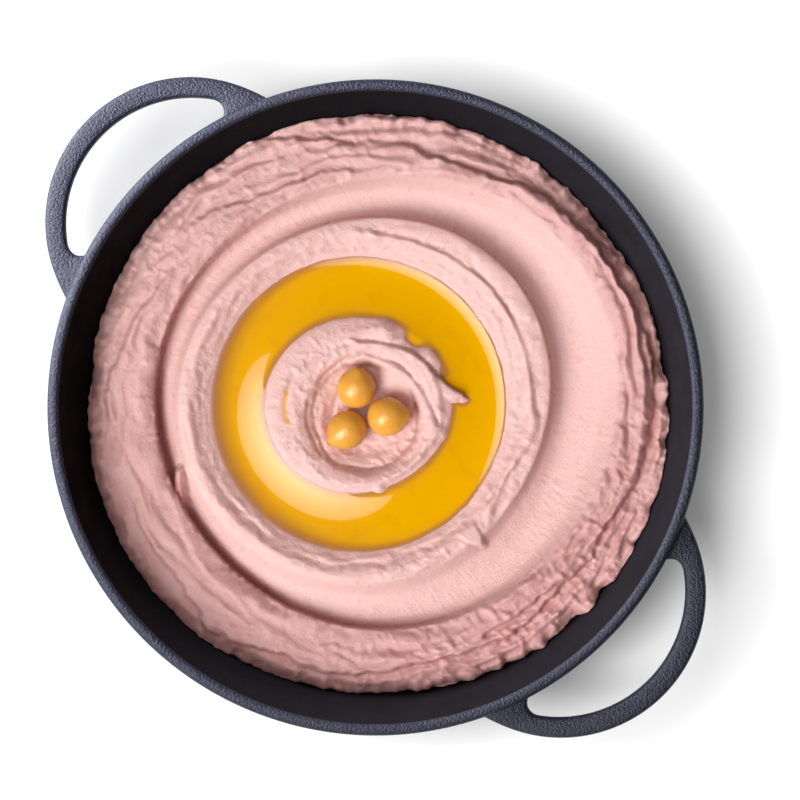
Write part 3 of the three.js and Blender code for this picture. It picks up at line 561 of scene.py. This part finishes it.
def oil_height(angle, radius):
    """The oil's level, with its climb at both shores."""
    inner, outer = edge(INNER_SHORE, angle), edge(OUTER_SHORE, angle)
    climb_in = INNER_CLIMB[0] * np.exp(-np.maximum(radius - inner, 0) / INNER_CLIMB[1])
    climb_out = OUTER_CLIMB[0] * np.exp(-np.maximum(outer - radius, 0) / OUTER_CLIMB[1])
    return OIL_LEVEL + climb_in + climb_out


# ---------------------------------------------------------------- making meshes
def new_piece(name, bm, material, replaced):
    """Makes a finished piece of a bmesh, in the place of some nodes of the part."""
    bmesh.ops.recalc_face_normals(bm, faces=bm.faces)
    mesh = bpy.data.meshes.new(name)
    bm.to_mesh(mesh)
    bm.free()
    piece = bpy.data.objects.new(name, mesh)
    bpy.context.scene.collection.objects.link(piece)
    for m in material if isinstance(material, (list, tuple)) else [material]:
        mesh.materials.append(m)
    mesh.polygons.foreach_set("use_smooth", [True] * len(mesh.polygons))
    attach(piece, "root")
    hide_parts(*replaced)
    return piece


def points_of(bm):
    return np.array([v.co for v in bm.verts])


def move_points(bm, places):
    for v, place in zip(bm.verts, places):
        v.co = place


def band_radius(share):
    """Radius of the ring at a share of the way out, with rings closer where the dip is rough."""
    r = np.linspace(0, DIP_BANDS[-1][0], 2000)
    spacing = np.interp(r, [b[0] for b in DIP_BANDS], [b[1] for b in DIP_BANDS])
    count = np.concatenate([[0], np.cumsum((1 / spacing[1:] + 1 / spacing[:-1]) / 2 * np.diff(r))])
    return np.interp(share, count / count[-1], r)


def crease_shade_share(x, y, z):
    """How far each point lies in a crease, from 0 to 1, which sets how much painted shade it gets."""
    around = 0
    for k in range(CREASE_LOOKS):
        turn = math.tau * k / CREASE_LOOKS
        around = around + dip_height(x + CREASE_REACH * math.cos(turn), y + CREASE_REACH * math.sin(turn))
    return np.clip((around / CREASE_LOOKS - z - 0.08) / 0.85, 0, 1)


def add_values(piece, name, values):
    """Stores a value a point, for the points that come first, and nothing for the rest."""
    whole = np.zeros(len(piece.data.vertices), np.float32)
    whole[:len(values)] = values
    piece.data.attributes.new(name, "FLOAT", "POINT").data.foreach_set("value", whole)


def make_dip(material):
    """The dip: a square grid bent into a disc, lifted to its height, then drawn down to the floor."""
    bm = bmesh.new()
    bmesh.ops.create_grid(bm, x_segments=DIP_GRID, y_segments=DIP_GRID, size=1)
    p = points_of(bm)
    across = np.maximum(np.abs(p[:, 0]), np.abs(p[:, 1]))
    flat = np.abs(p[:, 0]) >= np.abs(p[:, 1])
    lead = np.where(flat, p[:, 0], p[:, 1])
    other = np.where(flat, p[:, 1], p[:, 0])
    turn = math.pi / 4 * other / np.where(lead == 0, 1, lead)
    angle = np.where(flat, turn, math.pi / 2 - turn) + np.where(lead < 0, math.pi, 0)
    radius = band_radius(across)
    radius += (dip_edge(angle) - DIP_EDGE[0]) * smooth((radius - 66) / (DIP_EDGE[0] - 66))
    x, y = radius * np.cos(angle), radius * np.sin(angle)
    z = dip_height(x, y)
    shade = crease_shade_share(x, y, z)
    near, away, _, share = beside(trace(FILM), x, y, 3)
    film = np.zeros(len(x))
    film[near] = np.exp(-((away / FILM_REACH) ** 2)) * smooth(np.minimum(share, 1 - share) / 0.2)
    # Painted shade on the outer band from the pan's wall, patchy and stronger on some sides.
    wall_shade = bands_of(angle, radius)[0] * (edge(WALL_SHADE, angle) + 0.3 * swells(x / 6, y / 6, 81))
    # Painted shadow in the fold under the outer lip, strongest on the side towards the light, where the lip
    # shades the groove; it joins the painted shade in creases.
    under = np.maximum(0, 1 - np.abs(radius + 1.6 - edge(OUTER_LIP, angle)) / 2.6)
    shade = np.clip(shade + 1.8 * under * facing(angle, STEEP_SIDE + 170) ** 3, 0, 1)
    held = np.minimum(leaned(angle, radius), inner_wall(z) - GAP)
    x, y = held * np.cos(angle), held * np.sin(angle)
    move_points(bm, np.column_stack([x, y, z]) * MM)
    edges = [e for e in bm.edges if e.is_boundary]
    knee = FLOOR + INNER_CORNER
    below = [(knee, inner_wall(knee) - 2 * GAP), (FLOOR + 1.6, inner_wall(FLOOR) - 0.45 * INNER_CORNER),
             (FLOOR + GAP, inner_wall(FLOOR) - INNER_CORNER)]
    for level, wide in below:
        grown = bmesh.ops.extrude_edge_only(bm, edges=edges)["geom"]
        for v in [g for g in grown if isinstance(g, bmesh.types.BMVert)]:
            a = math.atan2(v.co.y, v.co.x)
            v.co = Vector((wide * math.cos(a), wide * math.sin(a), level)) * MM
        edges = [g for g in grown if isinstance(g, bmesh.types.BMEdge)]
    bmesh.ops.edgeloop_fill(bm, edges=edges)
    piece = new_piece("hummus_swirl", bm, material, ["hummus"])
    add_values(piece, "painted_shade", shade)
    add_values(piece, "wall_shade", wall_shade)
    add_values(piece, "film", film)
    return piece


def make_oil(material):
    """The oil: rings drawn in from its outer shore, which also keep how deep it looks, with painted shade
    that makes it shallower and browner by the outer shore on the side towards the light.
    """
    bm = bmesh.new()
    verts = bmesh.ops.create_circle(bm, segments=OIL_SIDES, radius=1, cap_ends=False)["verts"]
    edges = list(bm.edges)
    for k in range(OIL_RINGS + 1):
        if k:
            grown = bmesh.ops.extrude_edge_only(bm, edges=edges)["geom"]
            edges = [g for g in grown if isinstance(g, bmesh.types.BMEdge)]
            verts = [g for g in grown if isinstance(g, bmesh.types.BMVert)]
        a = np.array([math.atan2(v.co.y, v.co.x) for v in verts])
        outer, inner = edge(OUTER_SHORE, a) + OIL_PAST, edge(INNER_SHORE, a) - 2 * OIL_PAST
        share = (1 - math.cos(math.pi * k / OIL_RINGS)) / 2
        radius = outer + (inner - outer) * share
        z = oil_height(a, radius)
        for v, aa, r, h in zip(verts, a, radius, z):
            v.co = Vector((r * math.cos(aa), r * math.sin(aa), h)) * MM
    outer_edges = [e for e in bm.edges if e.is_boundary]
    grown = bmesh.ops.extrude_edge_only(bm, edges=outer_edges)["geom"]
    low = [g for g in grown if isinstance(g, bmesh.types.BMVert)]
    for v in low:
        v.co.z = (BASIN_FLOOR - 1.0) * MM
    bmesh.ops.bridge_loops(bm, edges=[g for g in grown if isinstance(g, bmesh.types.BMEdge)])
    piece = new_piece("oil_pool", bm, material, ["oil"])
    p = np.array([v.co for v in piece.data.vertices]) / MM
    depth = p[:, 2] - dip_height(p[:, 0], p[:, 1])
    angle, radius = np.arctan2(p[:, 1], p[:, 0]), np.hypot(p[:, 0], p[:, 1])
    inner, outer = edge(INNER_SHORE, angle), edge(OUTER_SHORE, angle)
    outwards = smooth((radius - inner) / (outer - inner))
    # How deep the oil looks by its outer shore is pushed up on one side and down towards the light, as
    # painted shade from the ridge.
    clear = facing(angle, OIL_UNSHADED_SIDE) ** 1.5
    add_values(piece, "oil_depth_and_shade", depth * (1 + outwards * (3.2 * clear - 0.72)))
    piece.visible_shadow = False
    return piece


def make_chickpea(name, spec, material):
    """A chickpea with its beak along X, turned and set in the dip."""
    (cx, cy), radius, heading, tilt = spec
    bm = bmesh.new()
    bmesh.ops.create_icosphere(bm, subdivisions=6, radius=1)
    tips = []
    for v in bm.verts:
        p = v.co.normalized()
        off_beak = math.degrees(math.acos(min(1.0, p.x)))
        beak = BEAK * max(0.0, 1 - off_beak / BEAK_SPREAD) ** 2
        seam = SEAM * math.exp(-((p.z / SEAM_WIDTH) ** 2)) * float(smooth(p.x + 0.5))
        dent = DENT * math.exp(-(((off_beak - DENT_PLACE) / DENT_SPREAD) ** 2)) * max(0.0, p.z)
        tips.append(max(0.0, 1 - off_beak / BEAK_TIP))
        p = p * (1 + beak - seam - dent) * radius
        v.co = Vector((p.x, p.y * SQUASH[0], p.z * SQUASH[1]))
    turn = Matrix.Rotation(math.radians(heading), 4, "Z") @ Matrix.Rotation(-math.radians(tilt), 4, "Y")
    place = Matrix.Translation((cx, cy, HOLLOW_FLOOR + radius - CHICKPEA_SINK))
    bmesh.ops.transform(bm, matrix=Matrix.Scale(MM, 4) @ place @ turn, verts=bm.verts)
    piece = new_piece(name + "_skin", bm, material, [name])
    add_values(piece, "beak", tips)
    return piece


def arc(cx, cz, radius, start, stop, steps):
    """Points of an arc in the plane of a profile."""
    turns = [math.radians(start + (stop - start) * k / steps) for k in range(steps + 1)]
    return [(cx + radius * math.cos(t), cz + radius * math.sin(t)) for t in turns]


def make_pan(outside, inside):
    """The pan: its profile spun round, rough outside and smooth within, with both handles cast on."""
    lean = math.degrees(math.atan(WALL_FLARE))
    foot = outer_wall(0) - OUTER_CORNER * 0.85
    lip = RIM_HEIGHT - LIP_ROUND
    inner_lip = inner_wall(lip)
    floor_edge = inner_wall(FLOOR) - INNER_CORNER * 0.8
    profile = [(0, 0), (foot * 0.5, 0)]
    profile += arc(foot, OUTER_CORNER, OUTER_CORNER, -90, -lean, 10)
    profile += [(outer_wall(z), z) for z in (15, 25, 35, 40)]
    profile += arc(RIM_RADIUS - LIP_ROUND, lip, LIP_ROUND, 0, 90, 8)
    profile += arc(inner_lip + LIP_ROUND, lip, LIP_ROUND, 90, 180, 8)
    profile += [(inner_wall(z), z) for z in (40, 35, 25, 15)]
    profile += arc(floor_edge, FLOOR + INNER_CORNER, INNER_CORNER, -lean, -90, 8)
    profile += [(floor_edge * 0.5, FLOOR), (0, FLOOR)]
    bm = bmesh.new()
    verts = [bm.verts.new((r * MM, 0, z * MM)) for r, z in profile]
    edges = [bm.edges.new(pair) for pair in zip(verts, verts[1:])]
    bmesh.ops.spin(bm, geom=verts + edges, cent=(0, 0, 0), axis=(0, 0, 1), angle=math.tau,
                   steps=PAN_SIDES, use_merge=True)
    bmesh.ops.remove_doubles(bm, verts=bm.verts, dist=1e-6)
    bmesh.ops.recalc_face_normals(bm, faces=bm.faces)
    for f in bm.faces:
        c = f.calc_center_median() / MM
        within = math.hypot(c.x, c.y) < inner_wall(c.z) + 0.25
        f.material_index = int(within and FLOOR - 0.5 < c.z < lip + 0.6)
    for turn in (0, 180):
        add_handle(bm, Matrix.Rotation(math.radians(turn), 4, "Z"))
    return new_piece("iron_pan", bm, [outside, inside], ["pan", "handle_right", "handle_left"])


def spaced(points, count):
    """The same line with its points evenly spaced."""
    p = np.array(points)
    run = np.concatenate([[0], np.cumsum(np.hypot(*np.diff(p, axis=0).T))])
    at = np.linspace(0, run[-1], count)
    return np.column_stack([np.interp(at, run, p[:, 0]), np.interp(at, run, p[:, 1])])


def handle_edges(count):
    """Both edges of half a handle seen from above, from the root in the wall to the middle of the loop."""
    end, span = math.radians(LOOP_FLARE), math.radians(ROOT_SPAN)
    root = (ROOT_INSIDE * math.cos(span), ROOT_INSIDE * math.sin(span))
    bend = (LOOP_CENTRE + LOOP_RADIUS * math.cos(end), LOOP_RADIUS * math.sin(end))
    flare = (bend[0] - ROOT_FLARE * math.sin(end), bend[1] + ROOT_FLARE * math.cos(end))
    outer = []
    for t in np.linspace(0, 1, 12):
        parts = zip(root, flare, bend)
        outer.append(tuple((1 - t) ** 2 * a + 2 * t * (1 - t) * b + t * t * c for a, b, c in parts))
    outer += arc(LOOP_CENTRE, 0, LOOP_RADIUS, LOOP_FLARE, 0, 60)[1:]
    reach = HOLE_FOOT + HOLE_END
    end_x = (reach**2 - (HOLE_RADIUS - HOLE_END) ** 2 + HOLE_CENTRE**2) / (2 * HOLE_CENTRE)
    end_y = math.sqrt(reach**2 - end_x**2)
    foot_angle = math.degrees(math.atan2(end_y, end_x))
    arc_angle = math.degrees(math.atan2(end_y, end_x - HOLE_CENTRE))
    foot = math.radians(foot_angle)
    inner = [(ROOT_INSIDE * math.cos(foot), ROOT_INSIDE * math.sin(foot))]
    inner += arc(end_x, end_y, HOLE_END, foot_angle + 180, arc_angle, 16)
    inner += arc(HOLE_CENTRE, 0, HOLE_RADIUS, arc_angle, 0, 60)[1:]
    return spaced(inner, count), spaced(outer, count)


def add_handle(bm, turn):
    """A handle: a rounded section drawn from one root round the loop to the other."""
    inner, outer = handle_edges(HANDLE_STEPS + 1)
    low = HANDLE_TOP - HANDLE_THICKNESS
    section = []
    for side, level, start in ((0, 0, 180), (1, 0, 270), (1, 1, 0), (0, 1, 90)):
        for t in (0, 30, 60, 90):
            c, s = math.cos(math.radians(start + t)), math.sin(math.radians(start + t))
            inset = HANDLE_EDGE * ((-1 if side else 1) + c)
            lift = HANDLE_EDGE * ((-1 if level else 1) + s)
            section.append((side, inset, low + level * HANDLE_THICKNESS + lift))
    stations = [(a, b, 1) for a, b in zip(inner, outer)]
    stations += [(a, b, -1) for a, b in zip(inner[-2::-1], outer[-2::-1])]
    ring = bmesh.ops.create_circle(bm, segments=len(section), radius=1, cap_ends=False)["verts"]
    edges = list(dict.fromkeys(e for v in ring for e in v.link_edges))
    first = edges
    for k, (a, b, flip) in enumerate(stations):
        if k:
            grown = bmesh.ops.extrude_edge_only(bm, edges=edges)["geom"]
            edges = [g for g in grown if isinstance(g, bmesh.types.BMEdge)]
            before, back = set(ring), {}
            for new in [g for g in grown if isinstance(g, bmesh.types.BMVert)]:
                old = next(e.other_vert(new) for e in new.link_edges if e.other_vert(new) in before)
                back[old] = new
            ring = [back[v] for v in ring]
        across = (b - a) / np.linalg.norm(b - a)
        for v, (side, inset, z) in zip(ring, section):
            foot = (b if side else a) + across * inset
            v.co = turn @ (Vector((foot[0], flip * foot[1], z)) * MM)
    for end in (first, edges):
        bmesh.ops.edgeloop_fill(bm, edges=end)


# ---------------------------------------------------------------- materials
def nodes_of(name):
    """A new material, its node tree and its main shader."""
    material = bpy.data.materials.new(name)
    material.use_nodes = True
    tree = material.node_tree
    shader = tree.nodes["Principled BSDF"]
    return material, tree, shader


def node(tree, kind, **settings):
    """A new node, with the values of its own sockets and settings."""
    made = tree.nodes.new(kind)
    for key, value in settings.items():
        if key in made.inputs:
            made.inputs[key].default_value = value
        else:
            setattr(made, key, value)
    return made


def object_place(tree):
    return tree.nodes.new("ShaderNodeTexCoord").outputs["Object"]


def attribute_share(tree, name):
    """A value that the piece keeps for each point."""
    return node(tree, "ShaderNodeAttribute", attribute_name=name).outputs["Fac"]


def spread(tree, value, low, high):
    """A range node that takes a value from between low and high to between 0 and 1."""
    span = node(tree, "ShaderNodeMapRange")
    span.inputs["From Min"].default_value = low
    span.inputs["From Max"].default_value = high
    tree.links.new(value, span.inputs["Value"])
    return span


def blend(tree, share, low, high):
    """A colour between two, by a share; each may be a colour or a socket."""
    mix = node(tree, "ShaderNodeMix", data_type="RGBA")
    factor, a, b = mix.inputs[0], mix.inputs[6], mix.inputs[7]
    tree.links.new(share, factor)
    for socket, colour in ((a, low), (b, high)):
        if isinstance(colour, tuple):
            socket.default_value = colour
        else:
            tree.links.new(colour, socket)
    return mix.outputs[2]


def new_group(name, numbers, outputs):
    """A node group that takes a place and some numbers: its tree, what it is given and what it puts out."""
    tree = bpy.data.node_groups.new(name, "ShaderNodeTree")
    tree.interface.new_socket("Place", in_out="INPUT", socket_type="NodeSocketVector")
    for label in numbers:
        tree.interface.new_socket(label, in_out="INPUT", socket_type="NodeSocketFloat")
    for label, kind in outputs:
        tree.interface.new_socket(label, in_out="OUTPUT", socket_type=kind)
    return tree, tree.nodes.new("NodeGroupInput").outputs, tree.nodes.new("NodeGroupOutput").inputs


def group_noise(tree, given):
    """The noise of a group, by the place and the numbers that the group is given."""
    noise = tree.nodes.new("ShaderNodeTexNoise")
    tree.links.new(given["Place"], noise.inputs["Vector"])
    tree.links.new(given["Scale"], noise.inputs["Scale"])
    tree.links.new(given["Detail"], noise.inputs["Detail"])
    tree.links.new(given["Sharpness"], noise.inputs["Roughness"])
    return noise.outputs["Fac"]


def mottled_gloss():
    """The group for a gloss that varies in patches, which a colour may follow."""
    tree, given, result = new_group("mottled_gloss", ("Scale", "Detail", "Sharpness", "Low", "High"),
                                    (("Patches", "NodeSocketFloat"), ("Roughness", "NodeSocketFloat")))
    patches = group_noise(tree, given)
    span = spread(tree, patches, 0.3, 0.7)
    tree.links.new(given["Low"], span.inputs["To Min"])
    tree.links.new(given["High"], span.inputs["To Max"])
    tree.links.new(patches, result["Patches"])
    tree.links.new(span.outputs["Result"], result["Roughness"])
    return tree


def fine_grain():
    """The group for a fine grain pressed into the surface; its depth is in metres."""
    tree, given, result = new_group("fine_grain", ("Scale", "Detail", "Sharpness", "Strength", "Depth"),
                                    (("Normal", "NodeSocketVector"),))
    bump = tree.nodes.new("ShaderNodeBump")
    tree.links.new(group_noise(tree, given), bump.inputs["Height"])
    tree.links.new(given["Strength"], bump.inputs["Strength"])
    tree.links.new(given["Depth"], bump.inputs["Distance"])
    tree.links.new(bump.outputs["Normal"], result["Normal"])
    return tree


def add_gloss(tree, shader, **values):
    """Gives a material its patchy gloss, and gives back the patches."""
    gloss = node(tree, "ShaderNodeGroup", node_tree=GLOSS, **values)
    tree.links.new(object_place(tree), gloss.inputs["Place"])
    tree.links.new(gloss.outputs["Roughness"], shader.inputs["Roughness"])
    return gloss.outputs["Patches"]


def add_grain(tree, shader, **values):
    """Gives a material its fine grain."""
    grain = node(tree, "ShaderNodeGroup", node_tree=GRAIN, **values)
    tree.links.new(object_place(tree), grain.inputs["Place"])
    tree.links.new(grain.outputs["Normal"], shader.inputs["Normal"])


def add_depth(shader, weight, radius, scale):
    """Lets light a little way in, furthest for red."""
    shader.inputs["Subsurface Weight"].default_value = weight
    shader.inputs["Subsurface Radius"].default_value = radius
    shader.inputs["Subsurface Scale"].default_value = scale


def dip_material():
    material, tree, shader = nodes_of("pink_dip")
    # The outer band gets painted shade from the pan's wall.
    colour = blend(tree, attribute_share(tree, "wall_shade"), DIP_SMOOTH, DIP_WALL_SHADE)
    # Creases and the fold under the outer lip get painted shade.
    colour = blend(tree, attribute_share(tree, "painted_shade"), colour, DIP_PAINTED_SHADE)
    colour = blend(tree, attribute_share(tree, "film"), colour, OIL_FILM)
    tree.links.new(colour, shader.inputs["Base Color"])
    add_depth(shader, 0.4, (1.0, 0.4, 0.33), 0.0014)
    add_gloss(tree, shader, Scale=260.0, Detail=3.0, Sharpness=0.5, Low=0.22, High=0.46)
    add_grain(tree, shader, Scale=1700.0, Detail=4.0, Sharpness=0.7, Strength=0.7, Depth=0.00035)
    return material


def oil_material():
    material, tree, shader = nodes_of("golden_oil")
    shader.inputs["Roughness"].default_value = 0.04
    shader.inputs["IOR"].default_value = 1.47
    ramp = node(tree, "ShaderNodeValToRGB")
    depth = spread(tree, attribute_share(tree, "oil_depth_and_shade"), 0.0, OIL_DEEPEST)
    tree.links.new(depth.outputs["Result"], ramp.inputs["Fac"])
    stops = ramp.color_ramp.elements
    stops.remove(stops[1])
    stops[0].position, stops[0].color = OIL_BY_DEPTH[0]
    for place, colour in OIL_BY_DEPTH[1:]:
        stops.new(place).color = colour
    streak = node(tree, "ShaderNodeTexNoise", Scale=90.0, Detail=4.0, Distortion=1.5)
    tree.links.new(object_place(tree), streak.inputs["Vector"])
    share = spread(tree, streak.outputs["Fac"], 0.5, 0.8)
    share.inputs["To Max"].default_value = 0.5
    colour = blend(tree, share.outputs["Result"], ramp.outputs["Color"], OIL_STREAK)
    tree.links.new(colour, shader.inputs["Base Color"])
    return material


def chickpea_material():
    material, tree, shader = nodes_of("cooked_chickpea")
    patches = add_gloss(tree, shader, Scale=420.0, Detail=4.0, Sharpness=0.6, Low=0.2, High=0.4)
    skin = blend(tree, patches, SKIN_PALE, SKIN_DEEP)
    tree.links.new(blend(tree, attribute_share(tree, "beak"), skin, SKIN_BEAK), shader.inputs["Base Color"])
    add_depth(shader, 0.2, (1.0, 0.5, 0.15), 0.001)
    add_grain(tree, shader, Scale=800.0, Detail=2.0, Sharpness=0.5, Strength=0.25, Depth=0.0003)
    return material


def iron_outside():
    material, tree, shader = nodes_of("pebbled_enamel")
    shader.inputs["Specular IOR Level"].default_value = 0.35
    tone = node(tree, "ShaderNodeTexNoise", Scale=90.0, Detail=3.0)
    tree.links.new(object_place(tree), tone.inputs["Vector"])
    tree.links.new(blend(tree, tone.outputs["Fac"], *BLUE_BLACK), shader.inputs["Base Color"])
    add_gloss(tree, shader, Scale=1900.0, Detail=2.0, Sharpness=0.5, Low=0.42, High=0.58)
    add_grain(tree, shader, Scale=1900.0, Detail=2.0, Sharpness=0.5, Strength=1.0, Depth=0.0004)
    return material


def iron_inside():
    material, tree, shader = nodes_of("black_enamel")
    shader.inputs["Specular IOR Level"].default_value = 0.03
    patches = add_gloss(tree, shader, Scale=120.0, Detail=5.0, Sharpness=0.6, Low=0.6, High=0.95)
    tree.links.new(blend(tree, patches, *BROWN_BLACK), shader.inputs["Base Color"])
    add_grain(tree, shader, Scale=1500.0, Detail=2.0, Sharpness=0.5, Strength=0.4, Depth=0.0003)
    return material


# ---------------------------------------------------------------- stage
def plain_material(name, colour, roughness=0.9):
    material, _, shader = nodes_of(name)
    shader.inputs["Base Color"].default_value = (*colour, 1)
    shader.inputs["Roughness"].default_value = roughness
    return material


def stage_piece(name, bm, material):
    mesh = bpy.data.meshes.new(name)
    bm.to_mesh(mesh)
    bm.free()
    piece = bpy.data.objects.new(name, mesh)
    mesh.materials.append(material)
    bpy.context.scene.collection.objects.link(piece)
    return piece


def make_floor():
    bm = bmesh.new()
    bmesh.ops.create_grid(bm, x_segments=1, y_segments=1, size=TABLE_REACH * MM)
    return stage_piece("table_top", bm, plain_material("white_table", TABLE_WHITE))


def towards(azimuth, zenith):
    """The direction to a light, from the middle of the pan's underside."""
    a, z = math.radians(azimuth), math.radians(zenith)
    return Vector((math.cos(a) * math.sin(z), math.sin(a) * math.sin(z), math.cos(z)))


def soft_box(name, azimuth, zenith, distance, size, power, pieces, state, colour=(1, 1, 1)):
    """A square of light turned at the pan's middle. It lights some pieces alone, or all but those."""
    data = bpy.data.lights.new(name, "AREA")
    data.size, data.energy, data.color = size, power, colour
    light = bpy.data.objects.new(name, data)
    way = towards(azimuth, zenith)
    light.location = way * distance
    light.rotation_mode = "QUATERNION"
    light.rotation_quaternion = way.to_track_quat("Z", "Y")
    bpy.context.scene.collection.objects.link(light)
    lit = bpy.data.collections.new(name + "_lights")
    light.light_linking.receiver_collection = lit
    for piece in pieces:
        lit.objects.link(piece)
    for linked in lit.collection_objects:
        linked.light_linking.link_state = state
    return light


def glow_card(name, azimuth, zenith, distance, width, height, strength, fade):
    """A glowing card that shows only in what is glossy, and fades from its low edge to its high one."""
    material = bpy.data.materials.new(name)
    material.use_nodes = True
    tree = material.node_tree
    tree.nodes.clear()
    glow = tree.nodes.new("ShaderNodeEmission")
    out = tree.nodes.new("ShaderNodeOutputMaterial")
    tree.links.new(glow.outputs["Emission"], out.inputs["Surface"])
    power = node(tree, "ShaderNodeMapRange")
    power.inputs["To Min"].default_value = strength * fade
    power.inputs["To Max"].default_value = strength
    tree.links.new(attribute_share(tree, "from_top"), power.inputs["Value"])
    tree.links.new(power.outputs["Result"], glow.inputs["Strength"])
    way = towards(azimuth, zenith)
    bm = bmesh.new()
    bmesh.ops.create_grid(bm, x_segments=1, y_segments=24, size=0.5)
    from_top = [0.5 - v.co.y for v in bm.verts]
    size = Matrix.Diagonal((width, height, 1, 1))
    turn = way.to_track_quat("Z", "Y").to_matrix().to_4x4()
    bmesh.ops.transform(bm, matrix=Matrix.Translation(way * distance) @ turn @ size, verts=bm.verts)
    card = stage_piece(name, bm, material)
    add_values(card, "from_top", from_top)
    card.visible_camera = False
    card.visible_diffuse = False
    card.visible_shadow = False
    card.visible_transmission = False


def make_world(strength):
    """A faint even light from all round, which gloss doesn't show."""
    world = bpy.data.worlds.new("studio")
    bpy.context.scene.world = world
    world.use_nodes = True
    background = world.node_tree.nodes["Background"]
    background.inputs["Color"].default_value = (1, 1, 1, 1)
    background.inputs["Strength"].default_value = strength
    world.cycles_visibility.glossy = False


def make_camera():
    """The camera, which looks straight down."""
    data = bpy.data.cameras.new("camera")
    data.lens, data.sensor_width = LENS, SENSOR
    camera = bpy.data.objects.new("camera", data)
    turn = Matrix.Rotation(math.radians(VIEW_TURN), 4, "Z")
    offset = turn @ Vector((*VIEW_CENTRE, RIM_HEIGHT + CAMERA_ABOVE_RIM))
    camera.matrix_world = Matrix.Translation(offset * MM) @ turn
    bpy.context.scene.collection.objects.link(camera)
    bpy.context.scene.camera = camera


GLOSS = mottled_gloss()
GRAIN = fine_grain()

make_camera()
make_world(WORLD_LIGHT)
table = make_floor()
pan = make_pan(iron_outside(), iron_inside())
dip = make_dip(dip_material())
oil = make_oil(oil_material())
pulse = chickpea_material()
peas = [make_chickpea(name, spec, pulse) for name, spec in CHICKPEAS.items()]

soft_box("key", azimuth=265, zenith=47, distance=1.4, size=0.8, power=22, pieces=[table], state="EXCLUDE")
overhead = soft_box("overhead", azimuth=263, zenith=14, distance=1.6, size=1.3, power=6,
                    pieces=[table, pan], state="EXCLUDE")
overhead.visible_glossy = False
fill = soft_box("food_fill", azimuth=0, zenith=0, distance=1.2, size=2.6, power=9,
                pieces=[dip, *peas], state="INCLUDE", colour=FOOD_GLOW)
fill.visible_glossy = False
soft_box("rim_light", azimuth=195, zenith=62, distance=0.3, size=0.2, power=3.0,
         pieces=[pan], state="INCLUDE")
soft_box("floor_light", azimuth=232, zenith=21, distance=2.0, size=1.0, power=44,
         pieces=[table], state="INCLUDE")
soft_box("floor_fill", azimuth=0, zenith=0, distance=1.5, size=1.6, power=11.0,
         pieces=[table], state="INCLUDE")
glow_card("oil_card", azimuth=263, zenith=17.5, distance=1.5, width=1.0, height=0.58,
          strength=14.0, fade=0.2)

bpy.context.scene.view_settings.view_transform = "Standard"
